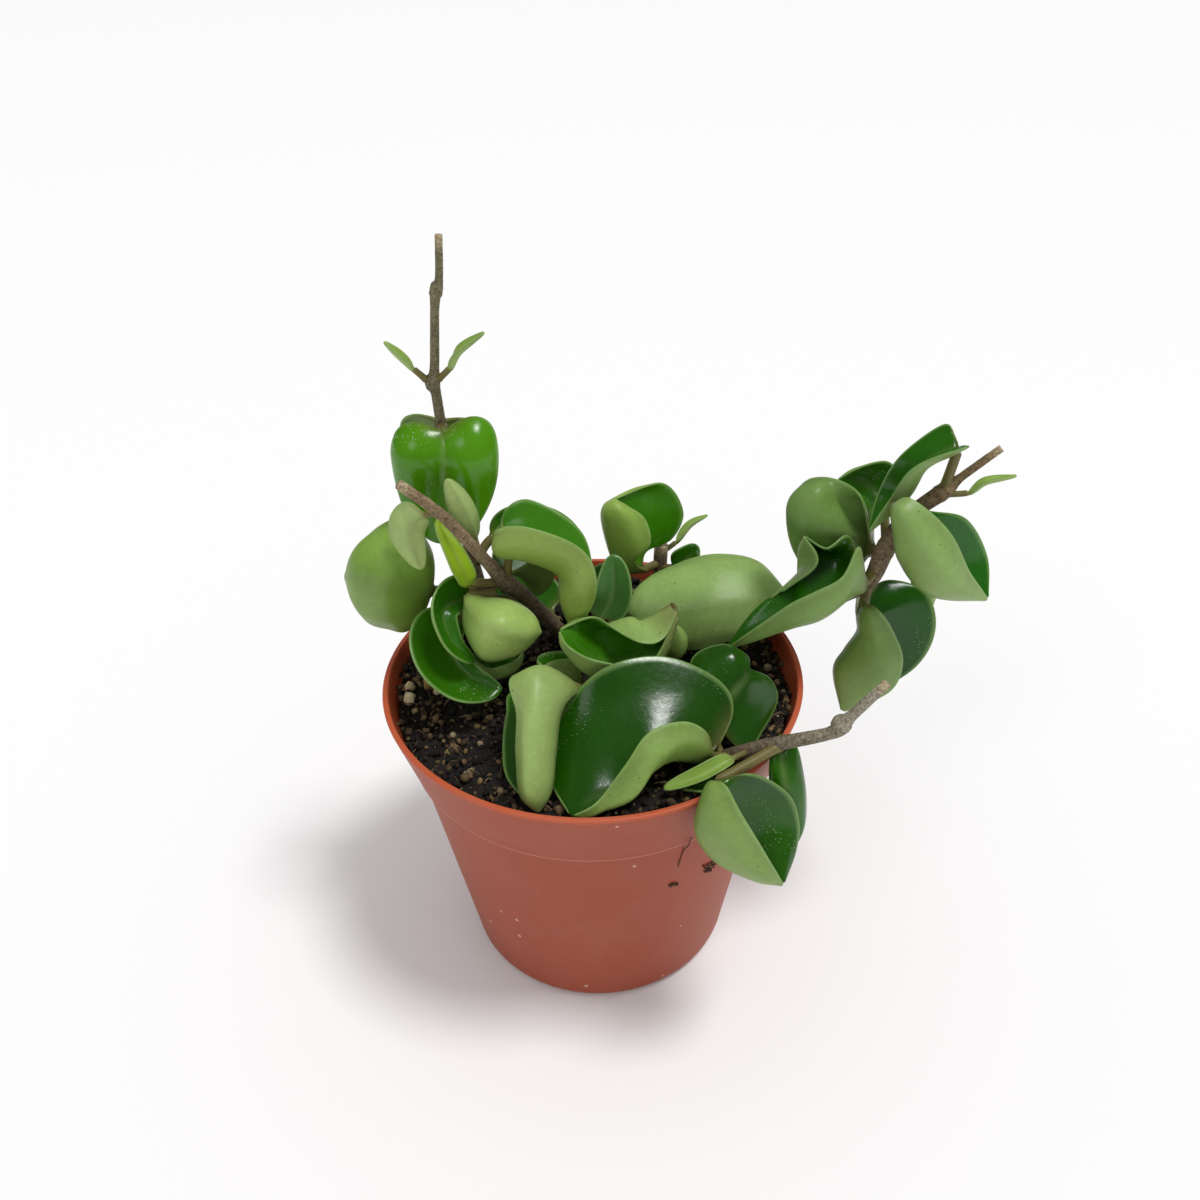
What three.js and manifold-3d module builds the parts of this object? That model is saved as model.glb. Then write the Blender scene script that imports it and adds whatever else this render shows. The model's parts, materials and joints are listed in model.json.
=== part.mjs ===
// A hindu rope plant (a hoya with curled, folded leaves) in a small plastic nursery pot.
// Millimetres, +Z up. The origin is the middle of the pot's flat underside, and -Y is the side that faces
// the viewer.
import * as THREE from 'three';
import { mergeVertices } from 'three/addons/utils/BufferGeometryUtils.js';
import Module from 'manifold-3d';

const wasm = await Module();
wasm.setup();

// Pot: outer radii and heights of its profile
const POT_HEIGHT = 96;
const RIM_RADIUS = 60;
const RIM_LIP = 1.6;
const BAND_HEIGHT = 20.5;
const BAND_FOOT_RADIUS = 54.4;
const BAND_STEP = 1.4;
const BASE_RADIUS = 40.3;
const BASE_ROUND = 4;
const EDGE_ROUND = 0.5;
const WALL = 1.5;
const FLOOR = 2;
const FLOOR_ROUND = 2;
const DRAIN_COUNT = 6;
const DRAIN_RADIUS = 4;
const DRAIN_CIRCLE = 27;
const DRAIN_SIDES = 16;
const POT_SIDES = 48;

// Soil: its level, its swells and crumbs, and how far it stays from the pot and from what stands in it
const SOIL_LEVEL = 90;
const SOIL_EDGE_DROP = 1.5;
const SWELL_HEIGHT = 1.3;
const SWELL_TURN = 0.09;
const CRUMB_HEIGHT = 0.55;
const CRUMB_TURN = 0.6;
const CLEARANCE = 0.3;
const SOIL_RINGS = 8;
const SOIL_SIDES = 32;

// Leaves: the blade's thickness and how it thins, its stalk, and how finely it is drawn
const LEAF_THICKNESS = 1.8;
const MARGIN_SHARE = 0.55;
const TIP_THICKNESS_SHARE = 0.6;
const CREASE = 2;
const MIDDLE_SHARE = 0.6;
const LOBE_GAIN = 2.2;
const STALK_RADIUS = 1.3;
const STALK_RINGS = 2;
const BASE_ANGLE = 0.16;
const TIP_ANGLE = Math.PI - 0.1;
const ARC_STEPS = 10;
const SPINE_SAMPLES = 160;

// Stems: how finely they are drawn, and the steps in which a stalk is moved clear of its stem
const STEM_SIDES = 10;
const STEM_STEPS = 2;
const STEM_SAMPLES = 24;
const SEAT_STEP = 0.05;
const SEAT_SIDES = 8;

const COLOURS = {
  pot: 0xa4583f,
  soil: 0x2a211b,
  stem: 0x6d5a43,
  upper: 0x2f6b1c,
  under: 0x9dbb70,
};

// Stems: the points of each line, with the stem's radius there. A node is a short swelling.
const STEMS = {
  tall: [[-25, 10, 74, 2.1], [-27, 11, 94, 2.1], [-31, 12.5, 116, 1.8], [-35, 12.5, 144, 1.5],
    [-37, 12, 167, 1.35], [-37.5, 11.5, 177.5, 1.3], [-38, 11, 181, 2], [-37, 10.5, 185, 1.2],
    [-35, 8, 201, 1.1], [-34, 7, 206, 1.6], [-33, 6.5, 209, 0.95], [-32, 6, 219, 0.9]],
  left: [[-6, 20, 74, 2.2], [-7, 19, 92, 2.3], [-11, 14, 102, 2.3], [-19, 6, 119, 2.1],
    [-23, 3, 125, 2.7], [-27, -1, 134, 1.7], [-36, -9, 153, 1.5], [-45, -15, 166, 1.3]],
  right: [[34, 26, 74, 2.3], [38, 27, 92, 2.4], [51, 22, 96.5, 2.3], [60, 17, 102, 2.3],
    [67, 11, 109, 2.2], [72, 5, 116, 2.2], [77, 0, 124, 2.2], [80, 0, 134, 2.7], [84, 0, 143, 1.9],
    [93, 0, 151, 2.3], [97, 0, 155, 1.1], [106, 0, 163, 1]],
  front: [[27, -30, 74, 2.2], [31, -33, 88, 2.2], [42, -39.5, 99.5, 2], [58, -45, 108.5, 1.6],
    [61, -45.5, 112, 2.6], [63, -46, 115, 1.4], [70, -47, 125.5, 1.2]],
  centre: [[8, 2, 74, 2], [8, 2, 92, 2], [6, 3, 106, 1.8]],
  back: [[22, 40, 74, 2.2], [22, 42, 92, 2.2], [23, 45.5, 109.5, 2.2]],
};

// Leaves. Each begins with rib: the line of its stalk, from a point on the stem's axis, and of its midrib,
// from the second point to the tip. A plain leaf then has the way its upper side faces at the blade's base,
// its flat half width, and for the left and right half the fold at the rib and the arch on to the edge, in
// degrees. A leaf that is curled out of that shape has the points of both its edges instead, one for each
// inner point of the midrib, and how deep each half is cupped.
const LEAVES = {
  tall_heart: {
    rib: [[-37, 12, 168], [-36.5, 8, 168.5], [-36.5, 4, 162.5], [-37.5, 5, 150.5], [-38, 3, 138]],
    face: [0, -1, 0.3], wide: 15.3, left: [48, -105], heart: 5, rows: 9,
  },
  tall_back: {
    rib: [[-37.5, 14, 168], [-38, 18, 167], [-39, 23, 160], [-38, 24, 149], [-37, 21, 139]],
    face: [0, 1, 0.3], wide: 11, left: [35, -60], heart: 3, rows: 8,
  },
  tall_dome: {
    rib: [[-32, 12, 118], [-45, 10, 118.5], [-46.5, 3, 123.5], [-53.5, -5, 132.5], [-62, -2, 131.5],
      [-67, 4, 128]],
    leftEdge: [[-46.5, 12, 136.5], [-50.5, 8, 143.5], [-58.5, 6, 140]],
    rightEdge: [[-52, 8, 107], [-58, 6, 108.5], [-64, 5, 113]],
    cup: [0.2, 0.08],
  },
  tall_low: {
    rib: [[-30.8, 8, 113], [-36, 2, 114], [-39, -6, 110], [-34, -12, 105], [-25, -16, 102]],
    face: [0.4, 0, 1], wide: [5, 13], left: [60, 20], right: [10, 45],
  },
  tall_inner: {
    rib: [[-27, 9, 102], [-22, 2, 101], [-24, -3, 99], [-30, -5, 100], [-34, -3, 105]],
    face: [0, 0, 1], wide: 7, left: [80, 40], right: [60, 0], rows: 7,
  },
  tall_young_left: {
    rib: [[-39.6, 10.6, 182], [-42, 9, 185.5], [-45, 8, 189.5], [-48, 7, 193.5]],
    face: [1, 0, 1], wide: 2, left: [40, 10], rows: 5, half: 2,
  },
  tall_young_right: {
    rib: [[-36.2, 10.6, 182], [-33, 9, 185.5], [-30, 7, 190.5], [-23.5, 6, 195.5]],
    face: [-1, 0, 1], wide: 2.3, left: [40, 10], rows: 5, half: 2,
  },
  left_channel: {
    rib: [[-23, 3, 125], [-32, 0.5, 127], [-34, -1, 132.5], [-36, -1.5, 139.5], [-39, -3, 149]],
    face: [0.2, -1, 0], wide: 3.6, left: [65, 10], rows: 8, half: 2,
  },
  left_young_a: {
    rib: [[-37, -10, 154.5], [-41, -8, 153.5], [-44, -6, 151], [-46, -6, 146], [-44, -6, 136]],
    face: [0, 1, 0.2], wide: [6, 4], left: [20, 10], rows: 7, half: 2,
  },
  left_young_b: {
    rib: [[-29, -2.7, 138], [-30, 0.5, 141], [-31, -2.5, 148], [-32.5, -4.5, 155], [-35, -5.5, 162]],
    face: [-0.6, 0.8, 0], wide: 4, left: [20, 10], rows: 6, half: 2,
  },
  left_arch: {
    rib: [[-23, 3, 126], [-21.5, 2, 135], [-23, -1, 136.5], [-16, 0, 134.5], [-8, -1, 130],
      [-7.5, -5, 123.5], [-4.5, -4, 111]],
    leftEdge: [[-23, 9, 142.5], [-15.5, 10, 146.5], [-2, 6, 138.5], [0.5, -1, 126]],
    rightEdge: [[-24, -6, 146.5], [-15, -8, 148.5], [-1.5, -8, 141], [1.5, -8, 128.5]],
    cup: [[0.2, -0.1], 0.2],
  },
  left_behind: {
    rib: [[-32, 12.5, 126], [-27, 17, 131], [-18, 18, 132], [-9, 18, 129], [-1, 16, 122]],
    face: [0, 0, 1], wide: 9, left: [80, 20], right: [80, 0],
  },
  left_bowl: {
    rib: [[-26, 1, 122.6], [-33.5, -2, 124.5], [-32, -8, 124.5], [-25, -18, 126], [-18, -17, 121.5],
      [-13.5, -10, 117]],
    leftEdge: [[-33.5, -6, 113.5], [-30, -8, 107], [-22, -10, 109.5]],
    rightEdge: [[-28, -1, 122], [-21.5, -5, 124], [-16.5, -6, 121]],
    cup: [0.1, 0.15],
  },
  left_cup: {
    rib: [[-21, 4.5, 118], [-33, 2, 120.5], [-40, -4, 121], [-38, -10, 115], [-32, -13, 110]],
    face: [0.5, -0.7, 0.4], wide: [4, 10], left: [60, 20], right: [20, 30],
  },
  front_large: {
    rib: [[36, -36, 93.5], [30.5, -38, 95.5], [27, -38, 94.5], [19.5, -42, 99.5], [12.5, -46, 99.5],
      [6, -49, 95.5], [-1.5, -52, 95], [-5, -54, 94], [-6.5, -55.5, 93.5]],
    leftEdge: [[28, -42, 107.5], [22, -43, 112], [13.5, -46, 111.5], [7.5, -50, 105], [1.5, -53, 97.5],
      [-2, -55, 95.5]],
    rightEdge: [[36.5, -29, 103], [33, -23, 109], [18.5, -20, 115], [2, -24, 114], [-9.5, -31, 103.5],
      [-12, -42, 95]],
    cup: [[0.15, 0.2, 0.5, 0.8, 0.6], 0.05], rows: 12, half: 4,
  },
  front_dark: {
    rib: [[33, -34.2, 92.5], [29.5, -27, 100.5], [32, -27, 101.5], [36.5, -24, 104.5], [40, -21, 107],
      [42, -18, 107], [42, -17, 108]],
    leftEdge: [[26, -20, 107], [28, -13, 110], [35.5, -12, 112.5], [40.5, -12, 110]],
    rightEdge: [[39, -34, 94], [45, -27, 94], [50.5, -17, 96.5], [48.5, -15, 102.5]],
    cup: [-0.22, 0],
  },
  front_back: {
    rib: [[49, -42, 104], [48.5, -35, 98.5], [47.5, -41, 99], [48.5, -46, 91], [49.5, -48, 80],
      [51, -51, 74]],
    leftEdge: [[51.5, -40, 100], [54, -43, 89.5], [55, -44, 77.5]],
    rightEdge: [[45, -41.5, 98], [45, -45, 88.5], [47, -47, 78]],
    cup: [-0.15, -0.1], rows: 7, half: 2,
  },
  front_small: {
    rib: [[33, -34.5, 91.5], [32.5, -42.6, 91.9], [28, -46, 92.6], [22, -46.5, 93]],
    face: [0, 0.3, 1], wide: 3.5, left: [20, 10], rows: 5, half: 2,
  },
  front_narrow: {
    rib: [[8, 2, 93.5], [-3, -22, 106.5], [-6.5, -30, 111.5], [-9.5, -36, 110], [-11, -42, 102],
      [-12, -47, 94.5], [-15, -50, 89.5]],
    leftEdge: [[-20, -28, 116.5], [-19.5, -36, 110.5], [-20, -42, 102], [-19.5, -47, 93]],
    rightEdge: [[-21, -20, 105], [-23, -26, 102], [-24, -34, 97], [-22.5, -42, 93.5]],
    cup: [[0.35, 0.65, 0.5], 0.1],
  },
  centre_rolled: {
    rib: [[7, 2.5, 101], [-3, -9, 96], [-9, -12, 97.5], [-16, -14, 98], [-22, -11, 100]],
    face: [0, 0, 1], wide: 12, left: [85, 45], right: [60, 0], rows: 7,
  },
  centre_folded: {
    rib: [[7, 2.5, 102], [24.5, -5, 122], [19.5, -6, 106.5], [10.5, -6, 103], [2, -10, 106.5],
      [-5.5, -13, 115.5], [-8.5, -12, 119]],
    leftEdge: [[17, -15, 110.5], [9.5, -20, 112.5], [0, -21, 115.5], [-6, -20, 119.5]],
    rightEdge: [[19.5, -12, 115.5], [13, -14, 115.5], [5.5, -8, 117], [0, -10, 121.5]],
    cup: [[0.1, 0.3, 0.2], [0.75, 0.4]],
  },
  centre_oval: {
    rib: [[7, 2.5, 99], [14.5, 13, 101], [12, 12, 107.5], [20.5, 11, 109], [36, 9, 111.5], [51, 11, 110],
      [60, 14, 107.5]],
    leftEdge: [[20, 8, 99], [29.5, 6, 97.5], [39.5, 6, 100], [50, 8, 100]],
    rightEdge: [[15.5, 20, 111.5], [27, 25, 115.5], [38.5, 25, 118], [50.5, 24, 115]],
    cup: [0.1, 0.1],
  },
  centre_grey: {
    rib: [[3.8, 4.5, 104], [3, 8, 108], [6, 10, 114], [7, 12, 120], [7, 14, 126]],
    face: [0, -1, 0.3], wide: 6.5, left: [40, 10], rows: 7,
  },
  centre_pale: {
    rib: [[7.8, 2, 94], [6, 15, 104], [7, 19, 110], [8, 21, 116], [7, 22, 121]],
    face: [0.3, 1, 0], wide: 4.5, left: [30, 10], rows: 7, half: 2,
  },
  centre_small: {
    rib: [[22, 11, 97], [22, 4, 97.5], [24, 0, 100], [25, 0, 105], [24, 2, 109]],
    face: [0, 1, 0.3], wide: 4, left: [40, 20], rows: 6, half: 2,
  },
  back_lobed: {
    rib: [[22.7, 44.4, 103.5], [16.5, 39.5, 104], [10, 37, 106], [7, 36, 114.5], [5, 37, 124],
      [5.5, 38, 128], [8.5, 39, 130]],
    leftEdge: [[14, 33, 111.5], [18.5, 33, 117.5], [17, 35, 125], [12, 36, 129]],
    rightEdge: [[18, 42, 109], [26, 44.5, 112], [29.5, 46, 121], [23, 46, 131]],
    cup: [[0.1, 0.4], 0.08],
  },
  back_young: {
    rib: [[22.8, 45, 106.5], [28, 47, 109.5], [32.5, 49.5, 114], [38, 51, 116.5]],
    face: [-1, 0, 1], wide: 2, left: [50, 10], rows: 5, half: 2,
  },
  back_small: {
    rib: [[22.6, 44, 102], [26.5, 41, 103.5], [30.5, 41, 106.5], [34, 42, 111]],
    face: [-0.5, -1, 0.5], wide: 4.5, left: [30, 20], rows: 5, half: 2,
  },
  right_boat: {
    rib: [[78, 0, 127.5], [74, -5, 126], [72.5, -7, 125.5], [68, -4, 120.5], [61.5, -4, 116.5],
      [53.5, -5, 115.5], [44, -5, 112], [37.5, -6, 106.5]],
    leftEdge: [[70.5, -8, 139.5], [66, -12, 133], [59, -12, 128.5], [53, -11, 124], [44.5, -9, 115]],
    rightEdge: [[71, 4, 135.5], [64, 0, 134.5], [57.5, 0, 138.5], [60.5, -4, 131.5], [46.5, 0, 115.5]],
    cup: [[0.1, 0.3, 0.55], [0.1, 0.55, 0.35, 0.35, -0.15]], rows: 12,
  },
  right_cup: {
    rib: [[80, 0, 133], [78.5, 7, 128.5], [78, 11, 130.5], [70, 7, 135.5], [60.5, 7, 137],
      [56, 10, 136.5], [56, 14, 135.5]],
    leftEdge: [[74.5, 7, 143.5], [71, 12, 147], [64.5, 17, 147], [59, 16, 145]],
    rightEdge: [[77, 15, 117], [71.5, 14, 115.5], [64, 13, 117.5], [59.5, 13, 123.5]],
    cup: [[-0.4, -0.3, 0.25, 0.2], 0.05],
  },
  right_arch: {
    rib: [[93, 0, 151.5], [94.5, -1, 163.5], [92.5, -2, 163.5], [86.5, -1, 159], [84, 2, 148.5],
      [74.5, 0, 139]],
    leftEdge: [[94.5, -6, 166.5], [82, -6, 161], [78.5, -2, 149.5]],
    rightEdge: [[92.5, 5, 167.5], [82.5, 5, 159.5], [78.5, 7, 148]],
    cup: [0, 0.08],
  },
  right_lower: {
    rib: [[84, 0, 143], [78.5, -5, 150.5], [79, -9, 146.5], [82, -9, 136], [90.5, -10, 126],
      [107.5, -8, 121.5]],
    leftEdge: [[88.5, -4, 147.5], [99, -3, 144], [106.5, -3, 132.5]],
    rightEdge: [[81.5, -10, 154.5], [91, -14, 147], [98, -14, 135]],
    cup: [0.05, [0.4, 0.25]],
  },
  right_tip: {
    rib: [[83.4, 2.6, 138.5], [95, 12, 119], [99, 13, 113], [99, 13, 108], [98.5, 12, 103]],
    face: [-0.5, 1, 0], wide: 5, left: [20, 20], rows: 6, half: 2,
  },
  right_hanging: {
    rib: [[76.5, 0, 122], [75.5, -2, 117.5], [74.5, -4, 114.5], [75, -4, 109], [72, -4, 102.5],
      [69.5, -4, 95.5], [73, -4, 80]],
    leftEdge: [[83.5, 8, 118], [95, 6, 115], [98.5, 3, 104], [93, 0, 92.5]],
    rightEdge: [[77.5, -9, 120], [82, -10, 113.5], [86, -10, 103], [84, -9, 91.5]],
    cup: [0.05, [0.2, 0.35, 0.15]],
  },
  right_young: {
    rib: [[95.6, -1.2, 150.2], [99, -1.8, 151.4], [103, -2, 154.6], [110.5, -2, 156]],
    face: [0, 0, 1], wide: 1.6, left: [40, 10], rows: 5, half: 2,
  },
  front_hanging: {
    rib: [[47, -41.7, 102], [29, -50, 97.5], [26.5, -56, 99], [25, -58, 90], [29.5, -58, 80],
      [39, -60, 74.5], [47, -61, 72]],
    leftEdge: [[38.5, -50, 100.5], [48.5, -48, 91.5], [52, -49, 82], [51, -53, 76]],
    rightEdge: [[30.5, -59, 106], [34, -63, 100.5], [39, -63, 90], [43, -63, 81.5]],
    cup: [[0.15, -0.1], 0.2],
  },
  front_young: {
    rib: [[40, -38.3, 97.6], [35, -42.5, 99], [26.5, -46.5, 97], [17, -48.5, 95]],
    face: [0, -0.3, 1], wide: 3, left: [86, 0], rows: 6, half: 2,
  },
  rear_left: {
    rib: [[-8, 17.6, 95], [-13, 29, 96], [-20, 33, 97], [-28, 32, 96], [-34, 28, 94]],
    face: [0, 0, 1], wide: 12, left: [30, 10], rows: 6,
  },
  rear_middle: {
    rib: [[22.4, 42.6, 95.5], [14, 37, 97], [7, 35, 98], [0, 35, 97], [-6, 38, 94]],
    face: [0, 0, 1], wide: 11, left: [40, 10], rows: 6,
  },
  rear_right: {
    rib: [[23, 42.7, 94], [31, 39.5, 95], [36, 38, 96], [40, 36, 97], [44, 33, 98]],
    face: [0, 0, 1], wide: 4.5, left: [50, 10], rows: 6,
  },
  rear_far: {
    rib: [[23.2, 44, 96.6], [29, 48, 97.5], [35, 48, 97.5], [41, 45, 97], [45, 41, 96]],
    face: [0, 0, 1], wide: 4.5, left: [30, 10], rows: 6,
  },
  tall_rear: {
    rib: [[-28.5, 12, 117], [-26, 18, 118], [-22, 25, 114], [-19, 30, 108], [-18, 32, 101]],
    face: [0.3, 0, 1], wide: 12, left: [50, 20], rows: 7,
  },
  tall_foot: {
    rib: [[-28.5, 12.5, 97], [-33, 18, 99], [-39, 23, 100], [-44, 26, 98], [-47, 27, 94]],
    face: [0, 0, 1], wide: 11, left: [50, 10], rows: 7,
  },
  right_rear: {
    rib: [[74, 3.5, 118], [79, 9, 112], [82, 13, 108], [83, 17, 102], [82, 19, 96]],
    face: [0.3, 1, 0.6], wide: 6, left: [60, 10], rows: 7,
  },
  right_behind: {
    rib: [[80, 0, 135.5], [82.5, 12, 135.5], [82, 17, 139.5], [79, 20, 142.5], [73.5, 20, 145],
      [70, 19, 145]],
    leftEdge: [[78.5, 14, 134.5], [74, 18, 137.5], [70.5, 19, 142.5]],
    rightEdge: [[85.5, 16, 145.5], [83, 18, 150.5], [76, 19, 149]],
    cup: [0, 0.1],
  },
};

const v3 = ([x, y, z]) => new THREE.Vector3(x, y, z);
const { clamp, degToRad, lerp } = THREE.MathUtils;

// A value that may be one number, or a list that runs from the leaf's base to its tip.
function along(value, share) {
  if (!Array.isArray(value)) return value;
  const place = share * (value.length - 1);
  const i = Math.min(Math.floor(place), value.length - 2);
  return lerp(value[i], value[i + 1], place - i);
}

// A smooth line through points, each a vector or a list that begins with x, y and z.
const smoothLine = (points) => new THREE.CatmullRomCurve3(
  points.map((p) => (p.isVector3 ? p : v3(p))), false, 'catmullrom', 0.5);
const stemRadius = (points, share) => along(points.map((point) => point[3]), share);

// Every stem's axis as a row of close points, each with the radius there.
const STEM_LINE = Object.values(STEMS).flatMap((points) => {
  const curve = smoothLine(points);
  const count = (points.length - 1) * STEM_SAMPLES;
  return Array.from({ length: count + 1 }, (_, i) => (
    { centre: curve.getPoint(i / count), radius: stemRadius(points, i / count) }));
});

// How far a point stands off the nearest stem's surface.
function offStem(point) {
  return Math.min(...STEM_LINE.map(({ centre, radius }) => point.distanceTo(centre) - radius));
}

// The points of a circle round a centre, in the plane of two directions at right angles.
function circle(centre, across, up, radius, sides, turn = 0) {
  return Array.from({ length: sides }, (_, k) => {
    const angle = turn + 2 * Math.PI * k / sides;
    return centre.clone().addScaledVector(across, Math.cos(angle) * radius)
      .addScaledVector(up, Math.sin(angle) * radius);
  });
}

// A stalk is drawn from a point on its stem's axis, and starts where its round end stands clear of the stem.
function seat([start, base]) {
  const [axis, end] = [v3(start), v3(base)];
  const run = end.clone().sub(axis).normalize();
  const across = run.clone().cross(new THREE.Vector3(0, 0, 1)).normalize();
  const up = run.clone().cross(across);
  for (let d = 0; d < end.distanceTo(axis); d += SEAT_STEP) {
    const foot = axis.clone().addScaledVector(run, d);
    const edge = circle(foot, across, up, STALK_RADIUS, SEAT_SIDES);
    if (Math.min(offStem(foot), ...edge.map(offStem)) >= CLEARANCE) return foot;
  }
  throw new Error('a stalk has no room: ' + start);
}

// The line of a leaf's stalk and midrib, with a frame that turns along it as little as it can.
// The stalk ends and the blade begins at the second point, where the distance s is 0.
function spine(points, face) {
  const curve = smoothLine(points);
  const place = Array.from({ length: SPINE_SAMPLES + 1 }, (_, i) => curve.getPoint(i / SPINE_SAMPLES));
  const origin = Math.round(SPINE_SAMPLES / (points.length - 1));
  const s = [0];
  for (let i = 1; i <= SPINE_SAMPLES; i++) s.push(s[i - 1] + place[i].distanceTo(place[i - 1]));
  const stalk = s[origin];
  for (let i = 0; i <= SPINE_SAMPLES; i++) s[i] -= stalk;
  const forward = place.map((_, i) =>
    place[Math.min(i + 1, SPINE_SAMPLES)].clone().sub(place[Math.max(i - 1, 0)]).normalize());
  const up = [];
  const carry = (from, i) => from.clone().addScaledVector(forward[i], -from.dot(forward[i])).normalize();
  up[origin] = carry(v3(face), origin);
  for (let i = origin + 1; i <= SPINE_SAMPLES; i++) up[i] = carry(up[i - 1], i);
  for (let i = origin - 1; i >= 0; i--) up[i] = carry(up[i + 1], i);
  // The frame at a distance s, sought from a sample on. Before that sample, or past the tip, it runs straight.
  const at = (d, first = origin) => {
    let i = first;
    while (i < SPINE_SAMPLES - 1 && s[i + 1] < d) i++;
    const share = clamp((d - s[i]) / (s[i + 1] - s[i]), 0, 1);
    const t = forward[i].clone().lerp(forward[i + 1], share).normalize();
    const u = up[i].clone().lerp(up[i + 1], share).normalize();
    const p = place[i].clone().lerp(place[i + 1], share);
    p.addScaledVector(t, d - clamp(d, s[i], s[i + 1]));
    return { p, t, u, b: t.clone().cross(u) };
  };
  return { at, length: s[SPINE_SAMPLES], stalk };
}

// The middle surface of a leaf that is drawn along its midrib. Its outline is drawn flat, and each point is
// then carried round the rib: the half climbs at its fold angle, and bends by its arch angle on to the edge.
function ribBlade({ rib, face, wide, left, right = left, heart = 0, ovate = 0.3 }) {
  const line = spine([seat(rib).toArray(), ...rib.slice(1)], face);
  const lobe = (f) => LOBE_GAIN * Math.sin(f) * ((1 + Math.cos(f)) / 2) ** 1.5;
  const outline = (f, egg) => Math.sin(f) * (1 + egg * Math.cos(f)) / (1 + 0.5 * egg * egg);
  const middle = (f, v) => {
    const sideShare = v < 0 ? 0 : 1;
    const full = along(wide, sideShare);
    const reach = full * outline(f, along(ovate, sideShare)) * Math.abs(v);
    const s = line.length * (1 - Math.cos(f)) / 2 - heart * lobe(f) * Math.abs(v) ** 1.3;
    const share = clamp(s / line.length, 0, 1);
    const [fold, arch] = [left, right][sideShare].map((angle) => degToRad(along(angle, share)));
    const step = reach / ARC_STEPS;
    let [x, y] = [0, 0];
    for (let k = 0; k < ARC_STEPS; k++) {
      const out = (k + 0.5) * step;
      const turn = fold * (1 - Math.exp(-out / CREASE)) + arch * out / full;
      x += Math.cos(turn) * step;
      y += Math.sin(turn) * step;
    }
    const frame = line.at(s);
    return frame.p.addScaledVector(frame.b, v < 0 ? -x : x).addScaledVector(frame.u, y);
  };
  return { middle, stalk: (share) => line.at(-line.stalk * (1 - share), 0) };
}

// The middle surface of a leaf that is drawn by three lines: its midrib, and both edges, which leave the rib
// at the blade's base and meet it at the tip. The middle of each half lies below the straight way from rib to
// edge by its cup, a share of that way, and a smooth line crosses the five points of each row.
function edgedBlade({ rib, leftEdge, rightEdge, cup }) {
  const line = rib.slice(1).map(v3);
  const [base, tip] = [line[0], line[line.length - 1]];
  const rows = leftEdge.map((_, i) => {
    const [before, at, after] = line.slice(i, i + 3);
    const run = after.clone().sub(before).normalize();
    const half = (edge, side) => {
      const reach = v3(edge[i]).sub(at);
      const down = run.clone().cross(reach).setLength(reach.length()).multiplyScalar(side);
      const depth = along(cup[side < 0 ? 0 : 1], i / (leftEdge.length - 1));
      return at.clone().addScaledVector(reach, MIDDLE_SHARE).addScaledVector(down, depth);
    };
    return [v3(leftEdge[i]), half(leftEdge, -1), at, half(rightEdge, 1), v3(rightEdge[i])];
  });
  const columns = rows[0].map((_, j) => smoothLine([base, ...rows.map((row) => row[j]), tip]));
  const row = (f) => smoothLine(columns.map((column) => column.getPoint(f / Math.PI)));
  const middle = (f, v) => row(f).getPoint((v + 1) / 2);
  const foot = seat(rib);
  const t = base.clone().sub(foot).normalize();
  const span = middle(BASE_ANGLE, 1).sub(middle(BASE_ANGLE, -1));
  const u = span.cross(middle(BASE_ANGLE, 0).sub(base)).normalize();
  u.addScaledVector(t, -u.dot(t)).normalize();
  const b = t.clone().cross(u);
  return { middle, stalk: (share) => ({ p: foot.clone().lerp(base, share), u, b }) };
}

// A leaf with its stalk. On the blade f runs from the stalk, 0, to the tip, pi, and v across from -1 to 1.
function leaf(name, shape) {
  const { rows = 10, half = 3 } = shape;
  const { middle, stalk } = shape.cup ? edgedBlade(shape) : ribBlade(shape);
  const across = 2 * half + 1;
  const share = (j) => (j - half) / half;
  const grid = Array.from({ length: rows + 1 }, (_, i) =>
    Array.from({ length: across }, (_, j) => middle(lerp(BASE_ANGLE, TIP_ANGLE, i / rows), share(j))));
  const rings = Array.from({ length: STALK_RINGS }, (_, i) => {
    const { p, u, b } = stalk(i / STALK_RINGS);
    return circle(p, b, u, STALK_RADIUS, 2 * across, Math.PI / 2 / across).slice().reverse();
  });
  rings.forEach((ring) => ring.unshift(...ring.splice(across)));
  grid.forEach((row, i) => {
    const [near, far] = [grid[Math.max(i - 1, 0)], grid[Math.min(i + 1, rows)]];
    const thin = lerp(TIP_THICKNESS_SHARE, 1, Math.min(1, (rows - i + 1) / 3));
    const off = row.map((_, j) => {
      const span = row[Math.min(j + 1, across - 1)].clone().sub(row[Math.max(j - 1, 0)]);
      const thick = LEAF_THICKNESS / 2 * thin * (1 - (1 - MARGIN_SHARE) * share(j) ** 2);
      return span.cross(far[j].clone().sub(near[j])).setLength(thick);
    });
    const upper = row.map((p, j) => p.clone().add(off[j]));
    const lower = row.map((p, j) => p.clone().sub(off[j]));
    rings.push([...upper, ...lower.reverse()]);
  });
  return skinned(name, rings, across);
}

// A geometry from points and triangles, with shading normals.
function geometryOf(points, faces) {
  const geometry = new THREE.BufferGeometry();
  const positions = points.flatMap((point) => point.toArray());
  geometry.setAttribute('position', new THREE.Float32BufferAttribute(positions, 3));
  geometry.setIndex(faces);
  geometry.computeVertexNormals();
  return geometry;
}

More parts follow.
